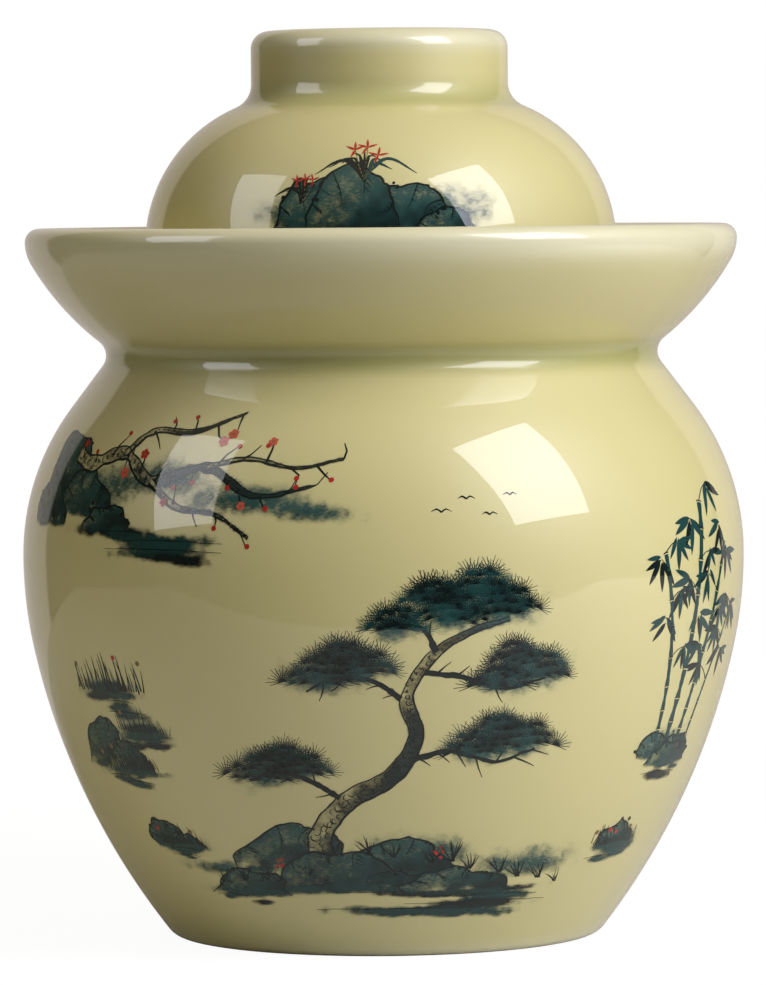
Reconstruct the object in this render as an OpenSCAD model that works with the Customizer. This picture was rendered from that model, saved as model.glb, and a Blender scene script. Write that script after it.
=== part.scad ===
// Water-seal pickle jar: a glazed pot whose flared rim is a water moat, an inner lid on the
// mouth and a bowl-shaped outer lid that stands in the moat. All lengths are millimetres.
// The axis of the pot is Z, and the foot ring stands on Z = 0.

/* [Pot body] */
// Diameter of the belly, the widest part of the pot
belly_d = 231.6; // [224:0.2:240]
// Height of the belly above the ground
belly_z = 122.5; // [118:0.5:127]
// Radius of the shoulder's curve above the belly
shoulder_bow = 78.5; // [75:0.5:82]
// Length of the straight slope between the shoulder's curve and the waist
slope_l = 17; // [8:0.5:24]
// Radius of the curve just below the belly
flank_bow = 140; // [120:1:180]
// Height at which the flank becomes straighter
flank_z = 92; // [70:1:100]
// Diameter at which the flank would meet the ground
base_d = 137; // [126:1:146]
// Rounding between the flank and the ground
foot_round = 6; // [3:0.5:10]
// Width of the bare ring that stands on the ground
foot_land = 7; // [4:0.5:12]
// Depth of the hollow inside the foot ring
foot_recess = 3; // [1.5:0.5:5]
// Thickness of the pot's side wall
wall = 5.5; // [4.5:0.25:7]
// Thickness of the pot's floor
floor_t = 7; // [5:0.5:10]
// Rounding inside the pot between side and floor
well_round = 28; // [15:1:40]

/* [Water moat] */
// Smallest outside diameter, where the moat leaves the shoulder
waist_d = 177.2; // [172:0.2:182]
// Radius of the hollow at the waist
waist_round = 5.5; // [4:0.5:9]
// Outside diameter of the moat's rim
rim_d = 228.4; // [222:0.2:236]
// Height of the top of the rim
rim_z = 227.5; // [222:0.5:234]
// Radius of the full round that closes the rim
lip_round = 4.5; // [3.5:0.25:6]
// Radius of the curve under the rim
lip_under = 14; // [10:0.5:20]
// Radius of the slight outward bow of the flare
flare_bow = 90; // [70:5:200]
// Height of the moat's floor
moat_z = 193.5; // [191:0.5:196]
// Thickness of the pot under the moat's floor
moat_floor_t = 7.5; // [6:0.25:10]
// Radius of the moat's hollow wall
moat_bow = 70; // [50:5:150]
// Rounding between the moat's wall and its floor
moat_round = 6; // [4:0.5:9]
// Flat floor left outside the outer lid
moat_gap = 5.5; // [3:0.5:7]

/* [Mouth collar] */
// Diameter of the mouth
mouth_d = 100; // [90:1:106]
// Thickness of the collar's wall
collar_wall = 7; // [5.5:0.5:9]
// Height of the top of the collar
collar_z = 226; // [220:0.5:232]
// Rounding of the collar's two top edges
collar_round = 2; // [1:0.25:2.5]
// Rounding between the collar and the moat's floor
collar_foot = 6; // [3:0.5:8]
// Rounding where the inside of the pot runs into the mouth
mouth_round = 6; // [4:0.5:8]

/* [Outer lid] */
// Diameter of the outer lid's skirt
lid_d = 151.4; // [148:0.2:156]
// Thickness of the outer lid
lid_wall = 5; // [4:0.25:6.5]
// Depth of the dome's spring line below the top of the collar, which the lid has to clear
spring_drop = 5; // [1:0.1:8]
// Radius of the dome's curve from the skirt to the crown
dome_bow = 48.6; // [46:0.2:52]
// Rounding of the skirt's two bottom edges
skirt_round = 1.5; // [0.75:0.25:1.75]
// Diameter of the ring knob
knob_d = 82.4; // [76:0.2:88]
// Height of the ring knob above the crown
knob_h = 20.4; // [16:0.2:26]
// Width of the knob's ring
knob_wall = 9.5; // [9:0.5:13]
// Rounding of the ring's outer top edge
knob_round = 5.6; // [4:0.2:6]
// Rounding of the ring's inner top edge
knob_inner_round = 3; // [2:0.25:3]
// Hollow between the ring knob and the dome
knob_foot = 8; // [5:0.5:11]
// Rounding at the bottom of the recess inside the ring
recess_round = 5; // [3:0.5:8]

/* [Inner lid] */
// Width of the collar's top left bare round the inner lid
cover_inset = 1; // [0.5:0.25:2]
// Thickness of the inner lid at its edge
cover_t = 5; // [4:0.25:6.5]
// Height of the inner lid's gentle rise from its edge to its knob
cover_rise = 2.5; // [1.5:0.25:4]
// Gap between the spigot and the mouth, all round
spigot_gap = 2; // [1.5:0.25:4]
// Thickness of the spigot ring
spigot_wall = 4.5; // [3.5:0.25:6]
// Depth of the spigot below its seat
spigot_h = 8; // [6:0.5:12]
// Diameter of the inner lid's button
button_d = 27; // [22:0.5:34]
// Diameter of the neck under the button
button_neck_d = 19; // [17:0.5:20]
// Height of the button above the disc
button_h = 14; // [13:0.5:18]

/* [Hidden] */
$fn = 180;
glaze = [0.73, 0.69, 0.45];

// Roundings of the small thrown details
foot_edge = 1.5;
spigot_round = 1.25;
button_round = 3;
neck_foot = 4;

belly_r = belly_d / 2;
waist_r = waist_d / 2;
rim_r = rim_d / 2;
mouth_r = mouth_d / 2;
collar_r = mouth_r + collar_wall;
lid_r = lid_d / 2;
knob_r = knob_d / 2;

function polar(angle) = [cos(angle), sin(angle)];
function unit(v) = v / norm(v);
function grid(x) = round(x * 1000) / 1000;
function on_grid(v) = [grid(v[0]), grid(v[1])];

// The point where a circle touches another whose centre is given
function touch(centre, r, other) = centre + r * unit(other - centre);

// The point at distance p from a and q from b, on the left of the way from a to b
function meet(a, p, b, q) =
    let (d = norm(b - a), u = (b - a) / d, along = (d * d + p * p - q * q) / (2 * d))
    a + u * along + sqrt(p * p - along * along) * [-u[1], u[0]];

// Ends of the straight line that passes from the right of circle a to the left of circle b
function cross_tangent(a, ra, b, rb) =
    let (v = b - a, t = atan2(v[1], v[0]) - acos((ra + rb) / norm(v)))
    [a + ra * polar(t), b - rb * polar(t)];

// The slice between a chord and an arc of radius r that bulges to the right of the way from a to b.
// The centre is placed in two steps, so that the arc ends exactly on both points.
module arc_slice(a, b, r) {
    side = unit([b[1] - a[1], a[0] - b[0]]);
    half = norm(b - a) / 2;
    centre = (a + b) / 2 - side * sqrt(r * r - half * half);
    intersection() {
        translate(on_grid(centre)) translate(centre - on_grid(centre)) circle(r);
        polygon([a, b, b + side * r, a + side * r]);
    }
}

// A thrown solid. Each corner of the outline is [point, radius of the arc to the next corner]:
// 0 is a straight line, a positive radius bulges outwards and a negative one is hollow.
module thrown(outline) {
    points = [for (corner = outline) on_grid(corner[0])];
    last = len(outline) - 1;
    rotate_extrude()
        difference() {
            union() {
                polygon(points);
                for (i = [0 : last])
                    if (outline[i][1] > 0)
                        arc_slice(points[i], points[i == last ? 0 : i + 1], outline[i][1]);
            }
            for (i = [0 : last])
                if (outline[i][1] < 0)
                    arc_slice(points[i == last ? 0 : i + 1], points[i], -outline[i][1]);
        }
}

// Pot, outside: two flank arcs, the shoulder with its straight slope, the waist, the flare and the lip
flank_c = [belly_r - flank_bow, belly_z];
flank_turn = -asin((belly_z - flank_z) / flank_bow);
flank_end = flank_c + flank_bow * polar(flank_turn);
to_base = [base_d / 2, 0] - flank_end;
low_bow = grid(-(to_base * to_base) / (2 * to_base * polar(flank_turn)));
low_c = flank_end - low_bow * polar(flank_turn);
foot_c = [
    low_c[0] + sqrt(pow(low_bow - foot_round, 2) - pow(foot_round - low_c[1], 2)),
    foot_round
];
foot_in_r = foot_c[0] - foot_land;

shoulder_c = [belly_r - shoulder_bow, belly_z];
waist_x = waist_r + waist_round;
to_waist = sqrt(pow(shoulder_bow + waist_round, 2) + pow(slope_l, 2));
waist_c = [waist_x, belly_z + sqrt(pow(to_waist, 2) - pow(waist_x - shoulder_c[0], 2))];
slope = cross_tangent(shoulder_c, shoulder_bow, waist_c, waist_round);
lip_c = [rim_r - lip_round, rim_z - lip_round];
under_c = [rim_r - lip_under, lip_c[1]];
flare_c = meet(waist_c, flare_bow + waist_round, under_c, flare_bow - lip_under);

// Moat: a hollow wall between the lip and the rounding at the floor
moat_c = [lid_r + moat_gap, moat_z + moat_round];
moat_wall_c = meet(moat_c, moat_bow - moat_round, lip_c, moat_bow + lip_round);

// Pot, inside: the same arcs one wall further in, and a vault that runs into the mouth
ceiling_z = moat_z - moat_floor_t;
floor_z = foot_recess + floor_t;
vault_x = mouth_r + mouth_round - shoulder_c[0];
vault_h = ceiling_z - belly_z;
inner_bow = shoulder_bow - wall;
vault_r = grid((pow(inner_bow, 2) - pow(vault_x, 2) - pow(vault_h, 2)) / (2 * (inner_bow - vault_h)));
vault_c = [mouth_r + mouth_round, ceiling_z - vault_r];
well_c = [
    low_c[0] + sqrt(pow(low_bow - wall - well_round, 2) - pow(floor_z + well_round - low_c[1], 2)),
    floor_z + well_round
];

module pot_body() {
    color(glaze) thrown([
        // underside and foot ring
        [[0, foot_recess], 0],
        [[foot_in_r - 2 * foot_edge, foot_recess], -foot_edge],
        [[foot_in_r - foot_edge, foot_recess - foot_edge], foot_edge],
        [[foot_in_r, 0], 0],
        [[foot_c[0], 0], foot_round],
        // outside
        [touch(low_c, low_bow, foot_c), low_bow],
        [flank_end, flank_bow],
        [[belly_r, belly_z], shoulder_bow],
        [slope[0], 0],
        [slope[1], -waist_round],
        [touch(waist_c, waist_round, flare_c), flare_bow],
        [touch(flare_c, flare_bow, under_c), lip_under],
        [[rim_r, lip_c[1]], lip_round],
        [[lip_c[0], rim_z], lip_round],
        // moat and collar
        [touch(lip_c, lip_round, moat_wall_c), -moat_bow],
        [touch(moat_wall_c, moat_bow, moat_c), -moat_round],
        [[moat_c[0], moat_z], 0],
        [[collar_r + collar_foot, moat_z], -collar_foot],
        [[collar_r, moat_z + collar_foot], 0],
        [[collar_r, collar_z - collar_round], collar_round],
        [[collar_r - collar_round, collar_z], 0],
        [[mouth_r + collar_round, collar_z], collar_round],
        [[mouth_r, collar_z - collar_round], 0],
        // inside
        [[mouth_r, ceiling_z + mouth_round], mouth_round],
        [[mouth_r + mouth_round, ceiling_z], -vault_r],
        [touch(shoulder_c, inner_bow, vault_c), -inner_bow],
        [[belly_r - wall, belly_z], -(flank_bow - wall)],
        [flank_c + (flank_bow - wall) * polar(flank_turn), -(low_bow - wall)],
        [touch(low_c, low_bow - wall, well_c), -well_round],
        [[well_c[0], floor_z], 0],
        [[0, floor_z], 0]
    ]);
}

// Outer lid: skirt, dome and ring knob, hollow underneath
dome_c = [lid_r - dome_bow, collar_z - spring_drop];
crown_z = dome_c[1] + dome_bow;
knob_z = crown_z + knob_h;
knob_foot_c = [
    knob_r + knob_foot,
    dome_c[1] + sqrt(pow(dome_bow + knob_foot, 2) - pow(knob_r + knob_foot - dome_c[0], 2))
];
knob_in_r = knob_r - knob_wall;

module outer_lid() {
    color(glaze) thrown([
        // skirt, dome and ring knob
        [[lid_r - skirt_round, moat_z], skirt_round],
        [[lid_r, moat_z + skirt_round], 0],
        [[lid_r, dome_c[1]], dome_bow],
        [touch(dome_c, dome_bow, knob_foot_c), -knob_foot],
        [[knob_r, knob_foot_c[1]], 0],
        [[knob_r, knob_z - knob_round], knob_round],
        [[knob_r - knob_round, knob_z], 0],
        // recess inside the ring
        [[knob_in_r + knob_inner_round, knob_z], knob_inner_round],
        [[knob_in_r, knob_z - knob_inner_round], 0],
        [[knob_in_r, crown_z + recess_round], -recess_round],
        [[knob_in_r - recess_round, crown_z], 0],
        [[0, crown_z], 0],
        // underside
        [[0, crown_z - lid_wall], 0],
        [[dome_c[0], crown_z - lid_wall], -(dome_bow - lid_wall)],
        [[lid_r - lid_wall, dome_c[1]], 0],
        [[lid_r - lid_wall, moat_z + skirt_round], skirt_round],
        [[lid_r - lid_wall + skirt_round, moat_z], 0]
    ]);
}

// Inner lid: a disc that rests on the collar, with a spigot in the mouth and a button to lift it
cover_r = collar_r - cover_inset;
spigot_r = mouth_r - spigot_gap;
spigot_in_r = spigot_r - spigot_wall;
button_r = button_d / 2;
neck_r = button_neck_d / 2;
disc_z = collar_z + cover_t + cover_rise;
button_z = disc_z + button_h;
neck_top_z = button_z - 2 * button_round;
// The disc's top is an arc from its edge to the foot of the neck, level where it meets the neck
rise_run = cover_r - cover_t / 2 - neck_r - neck_foot;
rise_bow = grid((pow(rise_run, 2) + pow(cover_rise, 2)) / (2 * cover_rise));

module inner_lid() {
    color(glaze) thrown([
        // underside and spigot
        [[0, collar_z], 0],
        [[spigot_in_r, collar_z], 0],
        [[spigot_in_r, collar_z - spigot_h + spigot_round], spigot_round],
        [[spigot_in_r + spigot_round, collar_z - spigot_h], 0],
        [[spigot_r - spigot_round, collar_z - spigot_h], spigot_round],
        [[spigot_r, collar_z - spigot_h + spigot_round], 0],
        [[spigot_r, collar_z], 0],
        // edge and top of the disc
        [[cover_r - cover_t / 2, collar_z], cover_t / 2],
        [[cover_r, collar_z + cover_t / 2], cover_t / 2],
        [[cover_r - cover_t / 2, collar_z + cover_t], rise_bow],
        [[neck_r + neck_foot, disc_z], -neck_foot],
        // button
        [[neck_r, disc_z + neck_foot], 0],
        [[neck_r, neck_top_z], 0],
        [[button_r - button_round, neck_top_z], button_round],
        [[button_r, neck_top_z + button_round], button_round],
        [[button_r - button_round, button_z], 0],
        [[0, button_z], 0]
    ]);
}

pot_body();
inner_lid();
outer_lid();
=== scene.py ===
"""Looks of a water seal pickle jar: a glazed pot, its inner lid and its outer lid, with brushed decoration."""

import logging
import math
from dataclasses import dataclass, field
from enum import Enum

import bpy
import numpy as np
from mathutils import Matrix, Vector


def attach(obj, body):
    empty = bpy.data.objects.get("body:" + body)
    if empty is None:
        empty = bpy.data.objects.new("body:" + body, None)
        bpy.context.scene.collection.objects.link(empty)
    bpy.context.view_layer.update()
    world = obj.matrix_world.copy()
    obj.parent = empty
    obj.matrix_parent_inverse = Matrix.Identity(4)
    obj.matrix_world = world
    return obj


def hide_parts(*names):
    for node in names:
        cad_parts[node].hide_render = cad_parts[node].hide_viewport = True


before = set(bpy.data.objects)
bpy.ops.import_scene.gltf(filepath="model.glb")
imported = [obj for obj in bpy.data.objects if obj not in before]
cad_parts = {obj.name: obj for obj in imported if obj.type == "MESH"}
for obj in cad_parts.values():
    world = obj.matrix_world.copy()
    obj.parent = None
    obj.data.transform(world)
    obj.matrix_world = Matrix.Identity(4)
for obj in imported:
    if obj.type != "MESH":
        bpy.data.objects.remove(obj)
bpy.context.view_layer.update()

MM = 0.001
BAKE_MAP = "OFBake"
log = logging.getLogger("jar")

Point = tuple[float, float]


def polar(angle: float) -> np.ndarray:
    """The unit vector at an angle in radians."""
    return np.array([math.cos(angle), math.sin(angle)])


def touch(centre: Point, radius: float, other: Point) -> np.ndarray:
    """The point where a circle touches another whose centre is given.

    Args:
        centre: Centre of the circle.
        radius: Radius of the circle.
        other: Centre of the circle that it touches.

    Returns:
        The shared point.
    """
    way = np.subtract(other, centre)
    return np.add(centre, radius * way / np.linalg.norm(way))


def meet(a: Point, from_a: float, b: Point, from_b: float) -> np.ndarray:
    """The point at given distances from two others, on the left of the way between them.

    Args:
        a: First point.
        from_a: Distance from the first point.
        b: Second point.
        from_b: Distance from the second point.

    Returns:
        The point found.
    """
    way = np.subtract(b, a)
    apart = np.linalg.norm(way)
    ahead = (apart**2 + from_a**2 - from_b**2) / (2 * apart)
    aside = math.sqrt(from_a**2 - ahead**2)
    way = way / apart
    return np.add(a, ahead * way + aside * np.array([-way[1], way[0]]))


def cross_tangent(a: Point, ra: float, b: Point, rb: float) -> tuple[np.ndarray, np.ndarray]:
    """Ends of the straight line that passes from the right of circle a to the left of circle b.

    Args:
        a: Centre of the first circle.
        ra: Its radius.
        b: Centre of the second circle.
        rb: Its radius.

    Returns:
        The two points where the line touches the circles.
    """
    way = np.subtract(b, a)
    turn = math.atan2(way[1], way[0]) - math.acos((ra + rb) / np.linalg.norm(way))
    return np.add(a, ra * polar(turn)), np.subtract(b, rb * polar(turn))


@dataclass(frozen=True)
class Corner:
    """A corner of a thrown outline and the stretch that leads to the next corner."""

    at: Point
    bow: float = 0.0  # radius of the stretch: 0 is straight, above 0 bulges and below 0 is hollow
    bare: bool = False  # the stretch has no glaze


@dataclass(frozen=True)
class Profile:
    """An outline sampled in small steps, from the foot up the outside and back down the inside."""

    places: np.ndarray  # radius and height of each station
    bare: np.ndarray  # 1 where the clay has no glaze
    gather: np.ndarray  # above 0 where glaze pools in a hollow, below 0 where it runs thin

    @property
    def normals(self) -> np.ndarray:
        """Unit normals that point out of the clay."""
        way = np.gradient(self.places, axis=0)
        out = np.stack([way[:, 1], -way[:, 0]], 1)
        return out / np.maximum(np.linalg.norm(out, axis=1, keepdims=True), 1e-9)


@dataclass(frozen=True)
class Outline:
    """Corners of a thrown piece, in millimetres, which become a profile."""

    corners: list[Corner]
    step: float = 3.2
    turn: float = math.radians(9)
    nip: float = 0.3  # a short first step beside each corner keeps sharp edges crisp
    pool_bow: float = 6.0  # a hollow this tight holds a full pool of glaze
    flow: float = 3.0  # distance over which glaze evens out

    def stretch(self, a: Corner, b: Corner) -> tuple[np.ndarray, float]:
        """Stations from one corner up to, but without, the next.

        Args:
            a: Corner where the stretch starts.
            b: Corner where it ends.

        Returns:
            The stations, and the bend of the stretch, above 0 where it bulges.
        """
        start, end = np.array(a.at, float), np.array(b.at, float)
        chord = np.linalg.norm(end - start)
        if a.bow == 0:
            count = max(int(math.ceil((chord - 2 * self.nip) / self.step)), 1)
            inner = np.linspace(self.nip, chord - self.nip, count + 1) if chord > 4 * self.nip else []
            share = np.concatenate([[0.0], inner]) / chord
            return start + share[:, None] * (end - start), 0.0
        radius = abs(a.bow)
        side = np.array([end[1] - start[1], start[0] - end[0]]) / chord * math.copysign(1, a.bow)
        centre = (start + end) / 2 - side * math.sqrt(radius**2 - chord**2 / 4)
        first, last = (math.atan2(*(p - centre)[::-1]) for p in (start, end))
        sweep = (last - first + math.pi) % (2 * math.pi) - math.pi
        count = max(math.ceil(abs(sweep) / self.turn), math.ceil(abs(sweep) * radius / self.step))
        angles = first + sweep * np.arange(count) / count
        return centre + radius * np.stack([np.cos(angles), np.sin(angles)], 1), 1 / a.bow

    def profile(self) -> Profile:
        """Samples the outline and works out where the glaze gathers.

        Returns:
            The sampled profile.
        """
        places, bend, bare = [], [], []
        for a, b in zip(self.corners, self.corners[1:]):
            found, curve = self.stretch(a, b)
            places.append(found)
            bend.append(np.full(len(found), curve))
            bare.append(np.full(len(found), float(a.bare)))
        places.append([self.corners[-1].at])
        bend.append([0.0])
        bare.append([float(self.corners[-2].bare)])
        places, bend, bare = (np.concatenate(x) for x in (places, bend, bare))
        along = np.concatenate([[0.0], np.cumsum(np.linalg.norm(np.diff(places, axis=0), axis=1))])
        near = np.exp(-(((along[:, None] - along) / self.flow) ** 2) / 2)
        near *= np.gradient(along)
        gather = -(near @ bend) / near.sum(1) * self.pool_bow
        return Profile(places, bare, gather.clip(-1, 1))


class NodeTree:
    """A node tree under construction, with short calls for what every tree here repeats."""

    def __init__(self, tree: bpy.types.NodeTree) -> None:
        """Starts on an empty tree.

        Args:
            tree: The tree to fill.
        """
        self.tree = tree

    def add(self, kind: str, inputs: dict | None = None, **settings: object) -> bpy.types.Node:
        """Adds a node.

        Args:
            kind: The node's type.
            inputs: Value or output socket for each input, by name or number.
            **settings: Properties to set on the node, before its inputs.

        Returns:
            The node.
        """
        node = self.tree.nodes.new(kind)
        for name, value in settings.items():
            setattr(node, name, value)
        for key, value in (inputs or {}).items():
            socket = node.inputs[key]
            if isinstance(value, bpy.types.NodeSocket):
                self.tree.links.new(value, socket)
            else:
                socket.default_value = value
        return node


class ShaderTree(NodeTree):
    """A shader tree, with the arithmetic that the finishes share."""

    def math(self, operation: str, a: object, b: object = 0.0, clamp: bool = False) -> bpy.types.NodeSocket:
        """One step of arithmetic.

        Args:
            operation: Blender's name of the operation.
            a: First number or socket.
            b: Second number or socket.
            clamp: Whether the result is kept from 0 to 1.

        Returns:
            The result's socket.
        """
        return self.add("ShaderNodeMath", {0: a, 1: b}, operation=operation, use_clamp=clamp).outputs[0]

    def remap(self, value: object, low: object, high: object, smooth: bool = True) -> bpy.types.NodeSocket:
        """A value's way from low to high as a number from 0 to 1.

        Args:
            value: The value.
            low: Where the result is 0.
            high: Where the result is 1.
            smooth: Whether the ends ease in and out.

        Returns:
            The result's socket.
        """
        kind = "SMOOTHSTEP" if smooth else "LINEAR"
        inputs = {"Value": value, "From Min": low, "From Max": high}
        return self.add("ShaderNodeMapRange", inputs, interpolation_type=kind).outputs["Result"]

    def mix(self, share: object, a: object, b: object, blend: str = "MIX") -> bpy.types.NodeSocket:
        """Two colours mixed.

        Args:
            share: How much of the second shows.
            a: First colour or socket.
            b: Second colour or socket.
            blend: How the second goes over the first.

        Returns:
            The mixed colour's socket.
        """
        node = self.add("ShaderNodeMix", data_type="RGBA", blend_type=blend)
        for key, value in ((0, share), (6, a), (7, b)):
            if isinstance(value, bpy.types.NodeSocket):
                self.tree.links.new(value, node.inputs[key])
            else:
                node.inputs[key].default_value = value
        return node.outputs[2]

    def noise(self, place: object, scale: float, detail: float = 2.0, roughness: float = 0.5) -> bpy.types.NodeSocket:
        """Cloudy noise from 0 to 1.

        Args:
            place: Socket of the coordinates.
            scale: Waves in a unit of length.
            detail: Octaves.
            roughness: Share of the finer octaves.

        Returns:
            The noise's socket.
        """
        inputs = {"Vector": place, "Scale": scale, "Detail": detail, "Roughness": roughness}
        return self.add("ShaderNodeTexNoise", inputs, noise_dimensions="3D").outputs["Fac"]


def shader_group(name: str, inputs: dict[str, str], outputs: dict[str, str]) -> tuple[ShaderTree, dict, dict]:
    """An empty shader node group with its sockets.

    Args:
        name: Name of the group.
        inputs: Kind of each input socket, by name.
        outputs: Kind of each output socket, by name.

    Returns:
        The tree, its inputs as sockets to read, and its outputs as sockets to link to.
    """
    tree = bpy.data.node_groups.new(name, "ShaderNodeTree")
    for label, kind in inputs.items():
        tree.interface.new_socket(label, in_out="INPUT", socket_type="NodeSocket" + kind)
    for label, kind in outputs.items():
        tree.interface.new_socket(label, in_out="OUTPUT", socket_type="NodeSocket" + kind)
    source, sink = tree.nodes.new("NodeGroupInput"), tree.nodes.new("NodeGroupOutput")
    return ShaderTree(tree), {s.name: s for s in source.outputs}, {s.name: s for s in sink.inputs}


def colour(red: float, green: float, blue: float) -> tuple[float, float, float, float]:
    """A screen colour, from 0 to 255 each, as the linear colour that a shader takes.

    Args:
        red: Red.
        green: Green.
        blue: Blue.

    Returns:
        The linear colour with full alpha.
    """
    linear = [((c / 255 + 0.055) / 1.055) ** 2.4 if c > 10 else c / 255 / 12.92 for c in (red, green, blue)]
    return (*linear, 1.0)


class SharedEffects:
    """Node groups that more than one finish uses, each made once."""

    def __init__(self) -> None:
        """Builds the groups."""
        self.ripple = self.build_ripple()
        self.depth = self.build_depth()
        self.bristles = self.build_bristles()

    def build_ripple(self) -> bpy.types.NodeTree:
        """The slow waves and the fine orange peel of a fired glaze.

        Returns:
            A group that gives a height from an object's own coordinates.
        """
        t, given, made = shader_group(
            "glaze_ripple", {"Place": "Vector", "Wave": "Float", "Peel": "Float"}, {"Height": "Float"}
        )
        wave = t.math("MULTIPLY", t.noise(given["Place"], 26.0, 1.0), given["Wave"])
        peel = t.math("MULTIPLY", t.noise(given["Place"], 420.0, 1.0), given["Peel"])
        t.tree.links.new(t.math("ADD", wave, peel), made["Height"])
        return t.tree

    def build_depth(self) -> bpy.types.NodeTree:
        """Glaze that is thin over edges, pools in hollows and stops short of bare clay.

        Returns:
            A group that gives the colour, the roughness and a mask of bare clay.
        """
        t, given, made = shader_group(
            "glaze_depth",
            {
                "Place": "Vector",
                "Gather": "Float",
                "Bare": "Float",
                "Body": "Color",
                "Thin": "Color",
                "Pool": "Color",
                "Clay": "Color",
                "Drift": "Float",
            },
            {"Colour": "Color", "Roughness": "Float", "Coat": "Float", "Clay": "Float"},
        )
        cloud = t.noise(given["Place"], 14.0, 3.0)
        drift = t.math("MULTIPLY", t.math("SUBTRACT", cloud, 0.5), given["Drift"])
        gather = t.math("ADD", given["Gather"], drift)
        base = t.mix(t.remap(gather, 0.0, 1.0), given["Body"], given["Pool"])
        base = t.mix(t.remap(gather, 0.0, -0.9), base, given["Thin"])
        grit = t.noise(given["Place"], 900.0, 2.0)
        ragged = t.math("ADD", given["Bare"], t.math("MULTIPLY", t.math("SUBTRACT", grit, 0.5), 0.5))
        bare = t.remap(ragged, 0.4, 0.6)
        stain = t.mix(t.remap(t.noise(given["Place"], 160.0, 3.0), 0.3, 0.75), given["Clay"], colour(214, 196, 160))
        t.tree.links.new(t.mix(bare, base, stain), made["Colour"])
        t.tree.links.new(t.math("ADD", HAZE_ROUGHNESS, t.math("MULTIPLY", bare, 0.4)), made["Roughness"])
        t.tree.links.new(t.math("SUBTRACT", 1.0, bare), made["Coat"])
        t.tree.links.new(bare, made["Clay"])
        return t.tree

    def build_bristles(self) -> bpy.types.NodeTree:
        """The broken edge and the granular body that a loaded brush leaves.

        Returns:
            A group that gives an ink's share from how much of it was laid down.
        """
        t, given, made = shader_group("bristles", {"Load": "Float", "Flat": "Vector", "Grain": "Float"}, {"Share": "Float"})
        streak = t.add("ShaderNodeMapping", {"Vector": given["Flat"], "Scale": (0.45, 1.0, 1.0)})
        fine = t.noise(streak.outputs[0], 1.5, 3.0, 0.65)
        broad = t.noise(given["Flat"], 0.3, 2.0, 0.6)
        mottle = t.math("SUBTRACT", t.math("ADD", fine, broad), 1.0)
        room = t.math("MULTIPLY", given["Load"], t.math("SUBTRACT", 1.0, given["Load"]))
        lifted = t.math("MULTIPLY", t.math("MULTIPLY", mottle, given["Grain"]), t.math("MULTIPLY", room, 4.0))
        t.tree.links.new(t.remap(t.math("ADD", given["Load"], lifted), 0.03, 0.92), made["Share"])
        return t.tree


class Finish:
    """What every material here shares: a Principled surface with a bump."""

    def __init__(self, name: str, shared: SharedEffects) -> None:
        """Starts a material.

        Args:
            name: Name of the material.
            shared: The node groups.
        """
        self.shared = shared
        self.material = bpy.data.materials.new(name)
        self.material.use_nodes = True
        self.tree = ShaderTree(self.material.node_tree)
        self.surface = self.material.node_tree.nodes["Principled BSDF"]
        self.place = self.tree.add("ShaderNodeTexCoord").outputs["Object"]

    def group(self, tree: bpy.types.NodeTree, inputs: dict) -> bpy.types.Node:
        """Places a shared group.

        Args:
            tree: The group.
            inputs: Its inputs.

        Returns:
            The group's node.
        """
        node = self.tree.add("ShaderNodeGroup", node_tree=tree)
        for key, value in inputs.items():
            if isinstance(value, bpy.types.NodeSocket):
                self.tree.tree.links.new(value, node.inputs[key])
            else:
                node.inputs[key].default_value = value
        return node

    def plug(self, socket: bpy.types.NodeSocket, name: str) -> None:
        """Links a socket to the surface's input of that name."""
        self.tree.tree.links.new(socket, self.surface.inputs[name])

    def attribute(self, name: str, output: str = "Fac") -> bpy.types.NodeSocket:
        """The socket of a mesh attribute."""
        return self.tree.add("ShaderNodeAttribute", attribute_name=name).outputs[output]

    def ripple(self, wave: float, peel: float) -> bpy.types.NodeSocket:
        """The height of the glaze's ripple at the surface's own coordinates."""
        return self.group(self.shared.ripple, {"Place": self.place, "Wave": wave, "Peel": peel}).outputs[0]

    def gloss(self) -> None:
        """Gives the surface a clear glassy top."""
        self.surface.inputs["IOR"].default_value = GLAZE_IOR
        self.surface.inputs["Coat IOR"].default_value = GLAZE_IOR
        self.surface.inputs["Coat Roughness"].default_value = GLAZE_ROUGHNESS

    def bump(self, height: object, distance: float) -> None:
        """Bends the surface's normals and its coat's.

        Args:
            height: Socket of the height.
            distance: Depth in metres of a height of 1.
        """
        node = self.tree.add("ShaderNodeBump", {"Height": height, "Distance": distance, "Strength": 1.0})
        self.plug(node.outputs[0], "Normal")
        self.plug(node.outputs[0], "Coat Normal")


GLAZE_IOR = 1.52
GLAZE_ROUGHNESS = 0.012
HAZE = 0.65
HAZE_ROUGHNESS = 0.48  # light that the glaze scatters before it leaves
RIPPLE_DEPTH = 0.0002
RIPPLE = {"wave": 1.0, "peel": 0.008}


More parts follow.
